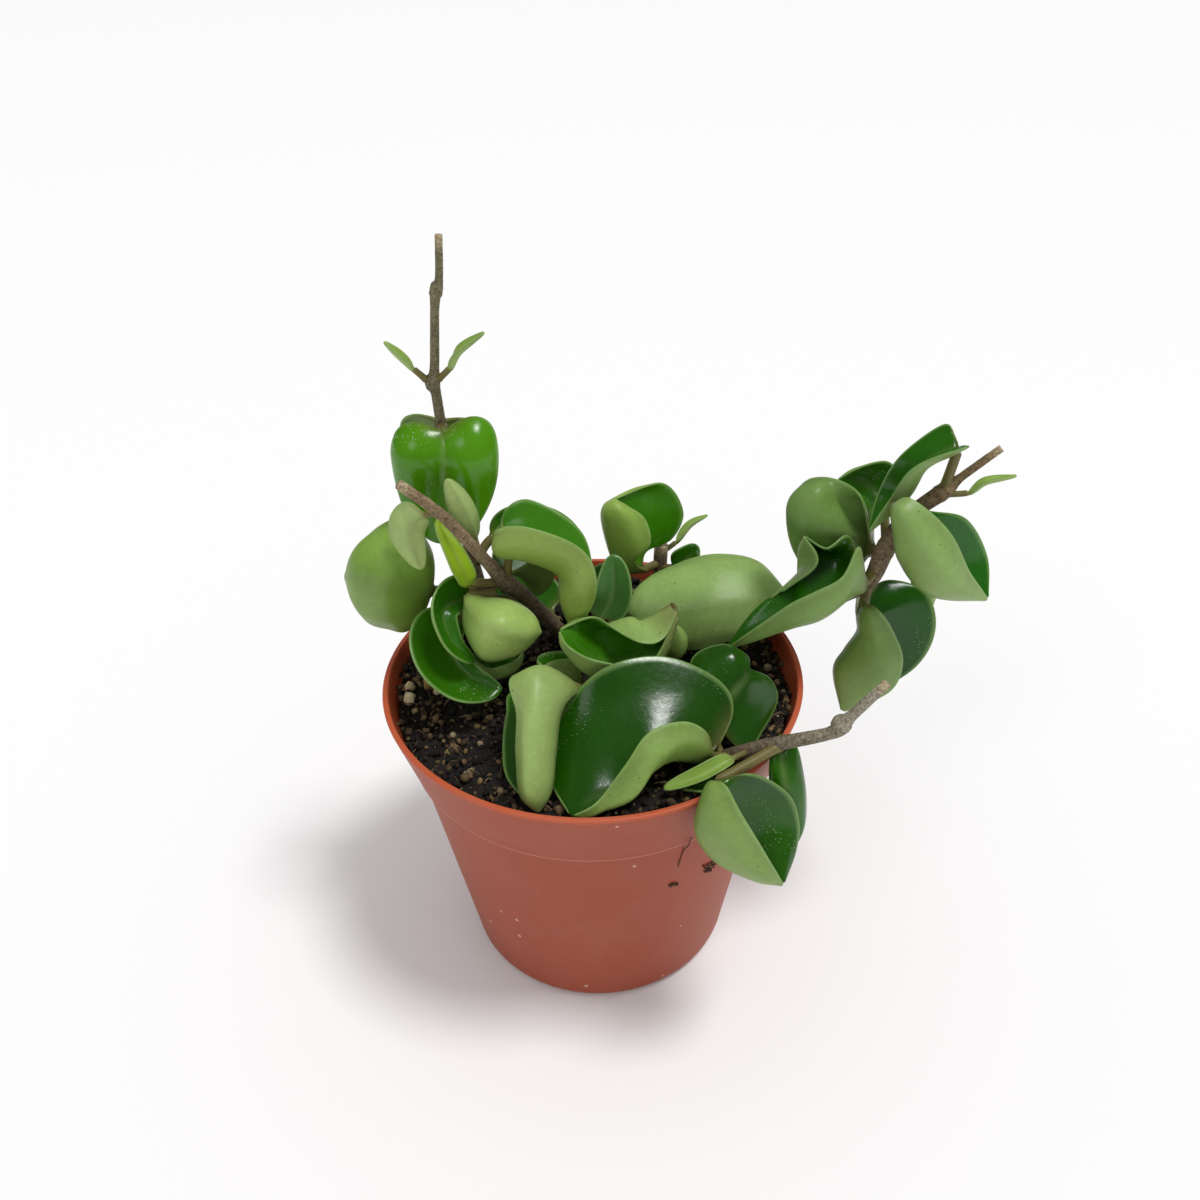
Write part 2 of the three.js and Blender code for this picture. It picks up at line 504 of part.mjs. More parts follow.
// Skins a stack of rings, each the upper face from left to right and the lower one back, in two colours.
function skinned(name, rings, across) {
  const size = 2 * across;
  const faces = [];
  for (let i = 0; i + 1 < rings.length; i++) {
    for (let k = 0; k < size; k++) {
      const n = (k + 1) % size;
      const [a, b, c, d] = [i * size + k, i * size + n, (i + 1) * size + n, (i + 1) * size + k];
      if (k < across) faces.push(a, b, c, a, c, d);
      else faces.push(a, b, d, b, c, d);
    }
  }
  const end = (rings.length - 1) * size;
  for (let j = 0; j + 1 < across; j++) {
    const [a, b, c, d] = [j, j + 1, size - 2 - j, size - 1 - j];
    faces.push(a, d, c, a, c, b);
    faces.push(end + a, end + c, end + d, end + a, end + b, end + c);
  }
  const geometry = geometryOf(rings.flat(), faces);
  const [upper, under] = [COLOURS.upper, COLOURS.under].map((colour) => new THREE.Color(colour).toArray());
  const colours = rings.flatMap((ring) => ring.flatMap((_, k) => (k < across ? upper : under)));
  geometry.setAttribute('color', new THREE.Float32BufferAttribute(colours, 3));
  const material = new THREE.MeshStandardMaterial({ vertexColors: true, roughness: 0.35 });
  const mesh = new THREE.Mesh(geometry, material);
  mesh.name = name;
  return mesh;
}

// A round bar swept along a line of [x, y, z, radius] points, closed by flat ends.
function sweep(points, grow = 0) {
  const curve = smoothLine(points);
  const steps = (points.length - 1) * STEM_STEPS;
  const rings = [];
  let across = new THREE.Vector3(1, 0, 0);
  for (let i = 0; i <= steps; i++) {
    const tangent = curve.getTangent(i / steps);
    across = across.clone().addScaledVector(tangent, -across.dot(tangent)).normalize();
    const up = tangent.clone().cross(across);
    const radius = stemRadius(points, i / steps) + grow;
    rings.push(circle(curve.getPoint(i / steps), across, up, radius, STEM_SIDES));
  }
  const faces = [];
  for (let i = 0; i < steps; i++) {
    for (let k = 0; k < STEM_SIDES; k++) {
      const n = (k + 1) % STEM_SIDES;
      const [a, b, c, d] = [[i, k], [i, n], [i + 1, n], [i + 1, k]]
        .map(([row, j]) => row * STEM_SIDES + j);
      faces.push(a, b, c, a, c, d);
    }
  }
  const end = steps * STEM_SIDES;
  for (let k = 1; k + 1 < STEM_SIDES; k++) {
    faces.push(0, k + 1, k);
    faces.push(end, end + k, end + k + 1);
  }
  return geometryOf(rings.flat(), faces);
}

// A closed geometry as a solid. Only its positions are kept, so that corners in one place become one.
function solid(geometry) {
  const bare = geometry.clone();
  bare.deleteAttribute('normal');
  bare.deleteAttribute('uv');
  const merged = mergeVertices(bare);
  return new wasm.Manifold(new wasm.Mesh({
    numProp: 3,
    vertProperties: merged.attributes.position.array,
    triVerts: new Uint32Array(merged.index.array),
  }));
}

function meshOf(body, name, colour) {
  const { vertProperties, triVerts, numProp } = body.getMesh();
  const geometry = new THREE.BufferGeometry();
  geometry.setAttribute('position', new THREE.Float32BufferAttribute(vertProperties, numProp));
  geometry.setIndex([...triVerts]);
  geometry.computeVertexNormals();
  const mesh = new THREE.Mesh(geometry, new THREE.MeshStandardMaterial({ color: colour, roughness: 0.6 }));
  mesh.name = name;
  return mesh;
}

const BAND_FOOT = POT_HEIGHT - BAND_HEIGHT;
const wallRadius = (z) => lerp(BASE_RADIUS, BAND_FOOT_RADIUS - BAND_STEP, z / BAND_FOOT);
const bandRadius = (z) => lerp(BAND_FOOT_RADIUS, RIM_RADIUS, (z - BAND_FOOT) / BAND_HEIGHT);

// The pot: one lathed wall with a banded rim, less the drain holes in its floor. The section runs from the
// middle of the underside up the outside, over the rim and down the inside to the middle of the floor.
function pot() {
  const round = [30, 60].map(degToRad).map((angle) => [
    wallRadius(BASE_ROUND / 2) - BASE_ROUND * (1 - Math.sin(angle)), BASE_ROUND * (1 - Math.cos(angle))]);
  const section = [
    [0, 0], [BASE_RADIUS - BASE_ROUND, 0], ...round,
    [wallRadius(BASE_ROUND), BASE_ROUND], [wallRadius(BAND_FOOT), BAND_FOOT],
    [BAND_FOOT_RADIUS, BAND_FOOT + EDGE_ROUND], [RIM_RADIUS, POT_HEIGHT - EDGE_ROUND],
    [RIM_RADIUS - EDGE_ROUND, POT_HEIGHT], [RIM_RADIUS - RIM_LIP + EDGE_ROUND, POT_HEIGHT],
    [RIM_RADIUS - RIM_LIP, POT_HEIGHT - EDGE_ROUND], [BAND_FOOT_RADIUS - WALL, BAND_FOOT + WALL],
    [wallRadius(BAND_FOOT) - WALL, BAND_FOOT - EDGE_ROUND],
    [wallRadius(FLOOR + FLOOR_ROUND) - WALL, FLOOR + FLOOR_ROUND],
    [wallRadius(FLOOR) - WALL - FLOOR_ROUND, FLOOR], [0, FLOOR],
  ].map(([radius, height]) => new THREE.Vector2(radius, height));
  let body = solid(new THREE.LatheGeometry(section, POT_SIDES).rotateX(Math.PI / 2));
  for (let i = 0; i < DRAIN_COUNT; i++) {
    const angle = (i / DRAIN_COUNT) * 2 * Math.PI;
    const cutter = new THREE.CylinderGeometry(DRAIN_RADIUS, DRAIN_RADIUS, 3 * FLOOR, DRAIN_SIDES);
    cutter.rotateX(Math.PI / 2);
    cutter.translate(DRAIN_CIRCLE * Math.cos(angle), DRAIN_CIRCLE * Math.sin(angle), 0);
    body = body.subtract(solid(cutter));
  }
  return meshOf(body, 'pot', COLOURS.pot);
}

// The height of the soil: low swells and crumbs about its level.
function soilHeight(x, y) {
  const swell = Math.sin(SWELL_TURN * x + 0.6) * Math.cos(1.2 * SWELL_TURN * y - 0.4);
  const wander = 1.7 * Math.sin(0.4 * CRUMB_TURN * y);
  const crumbs = Math.sin(CRUMB_TURN * x + wander) * Math.sin(CRUMB_TURN * y + 0.8);
  return SOIL_LEVEL + SWELL_HEIGHT * swell + CRUMB_HEIGHT * crumbs;
}

// The soil fills the pot from just above the floor, and stands clear of the wall and of every stem: rings of
// points run up the inside of the pot and then in over the top, from the middle below to the middle above.
function soil() {
  const gap = WALL + 2 * CLEARANCE;
  const low = FLOOR + 2 * CLEARANCE;
  const level = (z) => () => z;
  const edge = bandRadius(SOIL_LEVEL - SOIL_EDGE_DROP) - gap;
  const rings = [
    [wallRadius(low) - gap - FLOOR_ROUND, level(low)],
    [wallRadius(low + FLOOR_ROUND) - gap, level(low + FLOOR_ROUND)],
    [wallRadius(BAND_FOOT) - gap, level(BAND_FOOT - EDGE_ROUND)],
    [BAND_FOOT_RADIUS - gap, level(BAND_FOOT + WALL)],
    ...Array.from({ length: SOIL_RINGS }, (_, i) => [edge * (1 - i / SOIL_RINGS), soilHeight]),
  ];
  const points = [new THREE.Vector3(0, 0, low)];
  for (const [radius, height] of rings) {
    for (let j = 0; j < SOIL_SIDES; j++) {
      const angle = (j / SOIL_SIDES) * 2 * Math.PI;
      const [x, y] = [radius * Math.cos(angle), radius * Math.sin(angle)];
      points.push(new THREE.Vector3(x, y, height(x, y)));
    }
  }
  points.push(new THREE.Vector3(0, 0, soilHeight(0, 0)));
  const faces = [];
  for (let j = 0; j < SOIL_SIDES; j++) {
    const n = (j + 1) % SOIL_SIDES;
    faces.push(0, 1 + n, 1 + j);
    for (let i = 0; i + 1 < rings.length; i++) {
      const [a, b, c, d] = [[i, j], [i, n], [i + 1, n], [i + 1, j]]
        .map(([row, k]) => 1 + row * SOIL_SIDES + k);
      faces.push(a, b, c, a, c, d);
    }
    const last = points.length - 1 - SOIL_SIDES;
    faces.push(last + j, last + n, points.length - 1);
  }
  let body = solid(geometryOf(points, faces));
  for (const [[x, y, z, radius], ...rest] of Object.values(STEMS)) {
    body = body.subtract(solid(sweep([[x, y, z - 2 * CLEARANCE, radius], ...rest], 2 * CLEARANCE)));
  }
  return meshOf(body, 'soil', COLOURS.soil);
}

const plant = new THREE.Group();
plant.add(pot(), soil());
for (const [name, points] of Object.entries(STEMS)) {
  const mesh = new THREE.Mesh(sweep(points), new THREE.MeshStandardMaterial({ color: COLOURS.stem }));
  mesh.name = 'stem_' + name;
  plant.add(mesh);
}
for (const [name, shape] of Object.entries(LEAVES)) plant.add(leaf('leaf_' + name, shape));

export default plant;
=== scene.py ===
"""A hindu rope plant, a hoya with thick curled leaves, in a small plastic nursery pot.

Lengths are millimetres until a mesh is made, and metres in the scene. +Z is up, and the pot stands on z = 0.
"""
import json
from itertools import product
from math import cos, pi, radians, sin

import bpy
import numpy as np
from mathutils import Matrix, Vector

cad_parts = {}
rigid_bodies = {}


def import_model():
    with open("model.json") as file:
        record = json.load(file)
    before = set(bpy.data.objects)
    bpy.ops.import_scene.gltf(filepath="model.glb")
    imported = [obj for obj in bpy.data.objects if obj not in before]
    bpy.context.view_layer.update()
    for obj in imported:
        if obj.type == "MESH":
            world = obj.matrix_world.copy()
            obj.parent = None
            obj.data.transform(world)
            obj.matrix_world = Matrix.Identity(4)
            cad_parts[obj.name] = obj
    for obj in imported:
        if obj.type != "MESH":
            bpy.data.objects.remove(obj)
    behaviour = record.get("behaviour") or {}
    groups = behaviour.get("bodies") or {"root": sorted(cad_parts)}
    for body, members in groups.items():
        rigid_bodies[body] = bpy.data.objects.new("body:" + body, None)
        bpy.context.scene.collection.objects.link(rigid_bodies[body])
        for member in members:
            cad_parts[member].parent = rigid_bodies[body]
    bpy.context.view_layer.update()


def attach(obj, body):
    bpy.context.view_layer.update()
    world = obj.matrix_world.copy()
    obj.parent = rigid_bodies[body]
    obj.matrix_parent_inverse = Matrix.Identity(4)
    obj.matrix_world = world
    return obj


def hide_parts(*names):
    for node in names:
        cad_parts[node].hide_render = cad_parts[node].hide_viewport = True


bl_info = {
    "name": "Hindu rope plant",
    "version": (1, 0, 0),
    "blender": (4, 5, 0),
    "location": "3D View > Sidebar > Plant",
    "description": "A curled-leaf hoya in a plastic nursery pot, piece by piece",
    "category": "Add Mesh",
}

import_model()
MM = 0.001

# Pot: its profile's heights and radii, its wall and floor, and the round drain holes on a circle
POT_HEIGHT, RIM_RADIUS, RIM_LIP = 96, 60, 1.6
BAND_HEIGHT, BAND_FOOT_RADIUS, BAND_STEP = 20.5, 54.4, 1.4
BASE_RADIUS, BASE_ROUND = 40.3, 4
WALL, FLOOR = 1.5, 2
DRAIN_COUNT, DRAIN_RADIUS, DRAIN_CIRCLE = 6, 4, 27
BAND_FOOT = POT_HEIGHT - BAND_HEIGHT
TAPER = (BAND_FOOT_RADIUS - BAND_STEP - BASE_RADIUS) / BAND_FOOT

# Soil: its level, its gap to the wall, how high its swells and crumbs are, and how far each wave turns
# in a millimetre
SOIL_LEVEL, SOIL_GAP = 90, 0.6
SWELL_HEIGHT, SWELL_TURN = 1.3, 0.09
CRUMB_HEIGHT, CRUMB_TURN = 0.55, 0.6

# Stems: steps round and along each, and how far the two ring scars stand out beside a node
STEM_SIDES, STEM_RINGS = 28, 26
SCAR_BELOW, SCAR_ABOVE = 0.18, 0.15

# Leaves: the blade's thickness, the margin's share of it, and the groove and keel along the rib
LEAF_THICKNESS, MARGIN_SHARE = 1.6, 0.4
GROOVE, KEEL, RIB_WIDTH = 0.35, 0.45, 2.2
# The stalk's radius, a young leaf's thickness as a share of a grown one's, and its share of the ripple
STALK_RADIUS, YOUNG_SLIM, YOUNG_RIPPLE = 1.3, 0.6, 0.2
# A plain leaf's fullness toward its base, how wide the turn at its rib is, and how far across a cupped half
# is deepest
OVATE, CREASE, MIDDLE_SHARE = 0.3, 2, 0.6
# Steps along a midrib, across a half for its arch, along a blade and across half of it, round a margin and
# along a stalk
RIB_SAMPLES, ARC_STEPS, LEAF_ROWS, LEAF_HALF, EDGE_POINTS, STALK_ROWS = 160, 24, 60, 13, 3, 10
LEAF_ACROSS = 2 * LEAF_HALF + 1
# Where the blade's rings begin and end, on the way from 0 at the stalk to pi at the tip
BASE_ANGLE, TIP_ANGLE = 0.16, pi - 0.06

# Camera: where it stands in metres, how far it looks down, how far to the right of +Y and how far it is
# tilted, in degrees, and its lens on a 36 mm wide sensor
CAMERA_PLACE = (0.0, -0.2503, 0.2917)
CAMERA_DOWN, CAMERA_YAW, CAMERA_TILT = 34.42, 0.62, -1.53
CAMERA_LENS, SENSOR = 33.0, 36.0

# Stage: the floor's radius in metres, and for each lamp the way it comes from, how wide it looks from the
# plant in degrees, and its strength
FLOOR_RADIUS = 12.0
LIGHTS = {
    "window": ((0.34, -0.12, 1.0), 15, 1.65),
    "front fill": ((-0.6, -0.8, 0.9), 20, 0.25),
}

# Stems: the points of each line, x, y, z, and the radius there. A short swelling is a node.
STEMS = {
    "tall": ((-25, 10, 74, 2.1), (-27, 11, 94, 2.1), (-31, 12.5, 116, 1.8), (-35, 12.5, 144, 1.5),
        (-37, 12, 167, 1.35), (-37.5, 11.5, 177.5, 1.3), (-38, 11, 181, 2), (-37, 10.5, 185, 1.2),
        (-35, 8, 201, 1.1), (-34, 7, 206, 1.6), (-33, 6.5, 209, 0.95), (-32, 6, 219, 0.9)),
    "left": ((-6, 20, 74, 2.2), (-7, 19, 92, 2.3), (-11, 14, 102, 2.3), (-19, 6, 119, 2.1),
        (-23, 3, 125, 2.7), (-27, -1, 134, 1.7), (-36, -9, 153, 1.5), (-45, -15, 166, 1.3)),
    "right": ((34, 26, 74, 2.3), (38, 27, 92, 2.4), (51, 22, 96.5, 2.3), (60, 17, 102, 2.3),
        (67, 11, 109, 2.2), (72, 5, 116, 2.2), (77, 0, 124, 2.2), (80, 0, 134, 2.7), (84, 0, 143, 1.9),
        (93, 0, 151, 2.3), (97, 0, 155, 1.1), (106, 0, 163, 1)),
    "front": ((27, -30, 74, 2.2), (31, -33, 88, 2.2), (42, -39.5, 99.5, 2), (58, -45, 108.5, 1.6),
        (61, -45.5, 112, 2.6), (63, -46, 115, 1.4), (70, -47, 125.5, 1.2)),
    "centre": ((8, 2, 74, 2), (8, 2, 92, 2), (6, 3, 106, 1.8)),
    "back": ((22, 40, 74, 2.2), (22, 42, 92, 2.2), (23, 45.5, 109.5, 2.2)),
}

# Leaves. Each begins with rib: the line of its stalk, from a point on the stem's axis, and of its midrib,
# from the second point to the tip. A plain leaf then has the way its upper side faces at the blade's base,
# its flat half width, and for its left and right half the fold at the rib and the arch on to the edge, in
# degrees. A leaf that is curled out of that shape has the points of both its edges instead, one for each
# inner point of the midrib, and how deep each half is cupped.
LEAVES = {
    "tall_heart": dict(
        rib=((-37, 12, 168), (-36.5, 8, 168.5), (-36.5, 4, 162.5), (-37.5, 5, 150.5), (-38, 3, 138)),
        face=(0, -1, 0.3), wide=15.3, left=(48, -105), heart=5),
    "tall_back": dict(
        rib=((-37.5, 14, 168), (-38, 18, 167), (-39, 23, 160), (-38, 24, 149), (-37, 21, 139)),
        face=(0, 1, 0.3), wide=11, left=(35, -60), heart=3),
    "tall_dome": dict(
        rib=((-32, 12, 118), (-45, 10, 118.5), (-46.5, 3, 123.5), (-53.5, -5, 132.5), (-62, -2, 131.5),
            (-67, 4, 128)),
        left_edge=((-46.5, 12, 136.5), (-50.5, 8, 143.5), (-58.5, 6, 140)),
        right_edge=((-52, 8, 107), (-58, 6, 108.5), (-64, 5, 113)),
        cup=(0.2, 0.08)),
    "tall_low": dict(
        rib=((-30.8, 8, 113), (-36, 2, 114), (-39, -6, 110), (-34, -12, 105), (-25, -16, 102)),
        face=(0.4, 0, 1), wide=(5, 13), left=(60, 20), right=(10, 45)),
    "tall_inner": dict(
        rib=((-27, 9, 102), (-22, 2, 101), (-24, -3, 99), (-30, -5, 100), (-34, -3, 105)),
        face=(0, 0, 1), wide=7, left=(80, 40), right=(60, 0)),
    "tall_young_left": dict(
        rib=((-39.6, 10.6, 182), (-42, 9, 185.5), (-45, 8, 189.5), (-48, 7, 193.5)),
        face=(1, 0, 1), wide=2, left=(40, 10)),
    "tall_young_right": dict(
        rib=((-36.2, 10.6, 182), (-33, 9, 185.5), (-30, 7, 190.5), (-23.5, 6, 195.5)),
        face=(-1, 0, 1), wide=2.3, left=(40, 10)),
    "left_channel": dict(
        rib=((-23, 3, 125), (-32, 0.5, 127), (-34, -1, 132.5), (-36, -1.5, 139.5), (-39, -3, 149)),
        face=(0.2, -1, 0), wide=3.6, left=(65, 10)),
    "left_young_a": dict(
        rib=((-37, -10, 154.5), (-41, -8, 153.5), (-44, -6, 151), (-46, -6, 146), (-44, -6, 136)),
        face=(0, 1, 0.2), wide=(6, 4), left=(20, 10)),
    "left_young_b": dict(
        rib=((-29, -2.7, 138), (-30, 0.5, 141), (-31, -2.5, 148), (-32.5, -4.5, 155), (-35, -5.5, 162)),
        face=(-0.6, 0.8, 0), wide=4, left=(20, 10)),
    "left_arch": dict(
        rib=((-23, 3, 126), (-21.5, 2, 135), (-23, -1, 136.5), (-16, 0, 134.5), (-8, -1, 130),
            (-7.5, -5, 123.5), (-4.5, -4, 111)),
        left_edge=((-23, 9, 142.5), (-15.5, 10, 146.5), (-2, 6, 138.5), (0.5, -1, 126)),
        right_edge=((-24, -6, 146.5), (-15, -8, 148.5), (-1.5, -8, 141), (1.5, -8, 128.5)),
        cup=((0.2, -0.1), 0.2)),
    "left_behind": dict(
        rib=((-32, 12.5, 126), (-27, 17, 131), (-18, 18, 132), (-9, 18, 129), (-1, 16, 122)),
        face=(0, 0, 1), wide=9, left=(80, 20), right=(80, 0)),
    "left_bowl": dict(
        rib=((-26, 1, 122.6), (-33.5, -2, 124.5), (-32, -8, 124.5), (-25, -18, 126), (-18, -17, 121.5),
            (-13.5, -10, 117)),
        left_edge=((-33.5, -6, 113.5), (-30, -8, 107), (-22, -10, 109.5)),
        right_edge=((-28, -1, 122), (-21.5, -5, 124), (-16.5, -6, 121)),
        cup=(0.1, 0.15)),
    "left_cup": dict(
        rib=((-21, 4.5, 118), (-33, 2, 120.5), (-40, -4, 121), (-38, -10, 115), (-32, -13, 110)),
        face=(0.5, -0.7, 0.4), wide=(4, 10), left=(60, 20), right=(20, 30)),
    "front_large": dict(
        rib=((36, -36, 93.5), (30.5, -38, 95.5), (27, -38, 94.5), (19.5, -42, 99.5), (12.5, -46, 99.5),
            (6, -49, 95.5), (-1.5, -52, 95), (-5, -54, 94), (-6.5, -55.5, 93.5)),
        left_edge=((28, -42, 107.5), (22, -43, 112), (13.5, -46, 111.5), (7.5, -50, 105),
            (1.5, -53, 97.5), (-2, -55, 95.5)),
        right_edge=((36.5, -29, 103), (33, -23, 109), (18.5, -20, 115), (2, -24, 114), (-9.5, -31, 103.5),
            (-12, -42, 95)),
        cup=((0.15, 0.2, 0.5, 0.8, 0.6), 0.05)),
    "front_dark": dict(
        rib=((33, -34.2, 92.5), (29.5, -27, 100.5), (32, -27, 101.5), (36.5, -24, 104.5), (40, -21, 107),
            (42, -18, 107), (42, -17, 108)),
        left_edge=((26, -20, 107), (28, -13, 110), (35.5, -12, 112.5), (40.5, -12, 110)),
        right_edge=((39, -34, 94), (45, -27, 94), (50.5, -17, 96.5), (48.5, -15, 102.5)),
        cup=(-0.22, 0)),
    "front_back": dict(
        rib=((49, -42, 104), (48.5, -35, 98.5), (47.5, -41, 99), (48.5, -46, 91), (49.5, -48, 80),
            (51, -51, 74)),
        left_edge=((51.5, -40, 100), (54, -43, 89.5), (55, -44, 77.5)),
        right_edge=((45, -41.5, 98), (45, -45, 88.5), (47, -47, 78)),
        cup=(-0.15, -0.1)),
    "front_small": dict(
        rib=((33, -34.5, 91.5), (32.5, -42.6, 91.9), (28, -46, 92.6), (22, -46.5, 93)),
        face=(0, 0.3, 1), wide=3.5, left=(20, 10)),
    "front_narrow": dict(
        rib=((8, 2, 93.5), (-3, -22, 106.5), (-6.5, -30, 111.5), (-9.5, -36, 110), (-11, -42, 102),
            (-12, -47, 94.5), (-15, -50, 89.5)),
        left_edge=((-20, -28, 116.5), (-19.5, -36, 110.5), (-20, -42, 102), (-19.5, -47, 93)),
        right_edge=((-21, -20, 105), (-23, -26, 102), (-24, -34, 97), (-22.5, -42, 93.5)),
        cup=((0.35, 0.65, 0.5), 0.1)),
    "centre_rolled": dict(
        rib=((7, 2.5, 101), (-3, -9, 96), (-9, -12, 97.5), (-16, -14, 98), (-22, -11, 100)),
        face=(0, 0, 1), wide=12, left=(85, 45), right=(60, 0)),
    "centre_folded": dict(
        rib=((7, 2.5, 102), (24.5, -5, 122), (19.5, -6, 106.5), (10.5, -6, 103), (2, -10, 106.5),
            (-5.5, -13, 115.5), (-8.5, -12, 119)),
        left_edge=((17, -15, 110.5), (9.5, -20, 112.5), (0, -21, 115.5), (-6, -20, 119.5)),
        right_edge=((19.5, -12, 115.5), (13, -14, 115.5), (5.5, -8, 117), (0, -10, 121.5)),
        cup=((0.1, 0.3, 0.2), (0.75, 0.4))),
    "centre_oval": dict(
        rib=((7, 2.5, 99), (14.5, 13, 101), (12, 12, 107.5), (20.5, 11, 109), (36, 9, 111.5),
            (51, 11, 110), (60, 14, 107.5)),
        left_edge=((20, 8, 99), (29.5, 6, 97.5), (39.5, 6, 100), (50, 8, 100)),
        right_edge=((15.5, 20, 111.5), (27, 25, 115.5), (38.5, 25, 118), (50.5, 24, 115)),
        cup=(0.1, 0.1)),
    "centre_grey": dict(
        rib=((3.8, 4.5, 104), (3, 8, 108), (6, 10, 114), (7, 12, 120), (7, 14, 126)),
        face=(0, -1, 0.3), wide=6.5, left=(40, 10)),
    "centre_pale": dict(
        rib=((7.8, 2, 94), (6, 15, 104), (7, 19, 110), (8, 21, 116), (7, 22, 121)),
        face=(0.3, 1, 0), wide=4.5, left=(30, 10)),
    "centre_small": dict(
        rib=((22, 11, 97), (22, 4, 97.5), (24, 0, 100), (25, 0, 105), (24, 2, 109)),
        face=(0, 1, 0.3), wide=4, left=(40, 20)),
    "back_lobed": dict(
        rib=((22.7, 44.4, 103.5), (16.5, 39.5, 104), (10, 37, 106), (7, 36, 114.5), (5, 37, 124),
            (5.5, 38, 128), (8.5, 39, 130)),
        left_edge=((14, 33, 111.5), (18.5, 33, 117.5), (17, 35, 125), (12, 36, 129)),
        right_edge=((18, 42, 109), (26, 44.5, 112), (29.5, 46, 121), (23, 46, 131)),
        cup=((0.1, 0.4), 0.08)),
    "back_young": dict(
        rib=((22.8, 45, 106.5), (28, 47, 109.5), (32.5, 49.5, 114), (38, 51, 116.5)),
        face=(-1, 0, 1), wide=2, left=(50, 10)),
    "back_small": dict(
        rib=((22.6, 44, 102), (26.5, 41, 103.5), (30.5, 41, 106.5), (34, 42, 111)),
        face=(-0.5, -1, 0.5), wide=4.5, left=(30, 20)),
    "right_boat": dict(
        rib=((78, 0, 127.5), (74, -5, 126), (72.5, -7, 125.5), (68, -4, 120.5), (61.5, -4, 116.5),
            (53.5, -5, 115.5), (44, -5, 112), (37.5, -6, 106.5)),
        left_edge=((70.5, -8, 139.5), (66, -12, 133), (59, -12, 128.5), (53, -11, 124), (44.5, -9, 115)),
        right_edge=((71, 4, 135.5), (64, 0, 134.5), (57.5, 0, 138.5), (60.5, -4, 131.5),
            (46.5, 0, 115.5)),
        cup=((0.1, 0.3, 0.55), (0.1, 0.55, 0.35, 0.35, -0.15))),
    "right_cup": dict(
        rib=((80, 0, 133), (78.5, 7, 128.5), (78, 11, 130.5), (70, 7, 135.5), (60.5, 7, 137),
            (56, 10, 136.5), (56, 14, 135.5)),
        left_edge=((74.5, 7, 143.5), (71, 12, 147), (64.5, 17, 147), (59, 16, 145)),
        right_edge=((77, 15, 117), (71.5, 14, 115.5), (64, 13, 117.5), (59.5, 13, 123.5)),
        cup=((-0.4, -0.3, 0.25, 0.2), 0.05)),
    "right_arch": dict(
        rib=((93, 0, 151.5), (94.5, -1, 163.5), (92.5, -2, 163.5), (86.5, -1, 159), (84, 2, 148.5),
            (74.5, 0, 139)),
        left_edge=((94.5, -6, 166.5), (82, -6, 161), (78.5, -2, 149.5)),
        right_edge=((92.5, 5, 167.5), (82.5, 5, 159.5), (78.5, 7, 148)),
        cup=(0, 0.08)),
    "right_lower": dict(
        rib=((84, 0, 143), (78.5, -5, 150.5), (79, -9, 146.5), (82, -9, 136), (90.5, -10, 126),
            (107.5, -8, 121.5)),
        left_edge=((88.5, -4, 147.5), (99, -3, 144), (106.5, -3, 132.5)),
        right_edge=((81.5, -10, 154.5), (91, -14, 147), (98, -14, 135)),
        cup=(0.05, (0.4, 0.25))),
    "right_tip": dict(
        rib=((83.4, 2.6, 138.5), (95, 12, 119), (99, 13, 113), (99, 13, 108), (98.5, 12, 103)),
        face=(-0.5, 1, 0), wide=5, left=(20, 20)),
    "right_hanging": dict(
        rib=((76.5, 0, 122), (75.5, -2, 117.5), (74.5, -4, 114.5), (75, -4, 109), (72, -4, 102.5),
            (69.5, -4, 95.5), (73, -4, 80)),
        left_edge=((83.5, 8, 118), (95, 6, 115), (98.5, 3, 104), (93, 0, 92.5)),
        right_edge=((77.5, -9, 120), (82, -10, 113.5), (86, -10, 103), (84, -9, 91.5)),
        cup=(0.05, (0.2, 0.35, 0.15))),
    "right_young": dict(
        rib=((93.8, -0.6, 150.4), (99, -1.8, 151.4), (103, -2, 154.6), (110.5, -2, 156)),
        face=(0, 0, 1), wide=1.6, left=(40, 10)),
    "front_hanging": dict(
        rib=((47, -41.7, 102), (29, -50, 97.5), (26.5, -56, 99), (25, -58, 90), (29.5, -58, 80),
            (39, -60, 74.5), (47, -61, 72)),
        left_edge=((38.5, -50, 100.5), (48.5, -48, 91.5), (52, -49, 82), (51, -53, 76)),
        right_edge=((30.5, -59, 106), (34, -63, 100.5), (39, -63, 90), (43, -63, 81.5)),
        cup=((0.15, -0.1), 0.2)),
    "front_young": dict(
        rib=((40, -38.3, 97.6), (35, -42.5, 99), (26.5, -46.5, 97), (17, -48.5, 95)),
        face=(0, -0.3, 1), wide=3, left=(86, 0)),
    "rear_left": dict(
        rib=((-8, 17.6, 95), (-13, 29, 96), (-20, 33, 97), (-28, 32, 96), (-34, 28, 94)),
        face=(0, 0, 1), wide=12, left=(30, 10)),
    "rear_middle": dict(
        rib=((22.4, 42.6, 95.5), (14, 37, 97), (7, 35, 98), (0, 35, 97), (-6, 38, 94)),
        face=(0, 0, 1), wide=11, left=(40, 10)),
    "rear_right": dict(
        rib=((23, 42.7, 94), (31, 39.5, 95), (36, 38, 96), (40, 36, 97), (44, 33, 98)),
        face=(0, 0, 1), wide=4.5, left=(50, 10)),
    "rear_far": dict(
        rib=((23.2, 44, 96.6), (29, 48, 97.5), (35, 48, 97.5), (41, 45, 97), (45, 41, 96)),
        face=(0, 0, 1), wide=4.5, left=(30, 10)),
    "tall_rear": dict(
        rib=((-28.5, 12, 117), (-26, 18, 118), (-22, 25, 114), (-19, 30, 108), (-18, 32, 101)),
        face=(0.3, 0, 1), wide=12, left=(50, 20)),
    "tall_foot": dict(
        rib=((-28.5, 12.5, 97), (-33, 18, 99), (-39, 23, 100), (-44, 26, 98), (-47, 27, 94)),
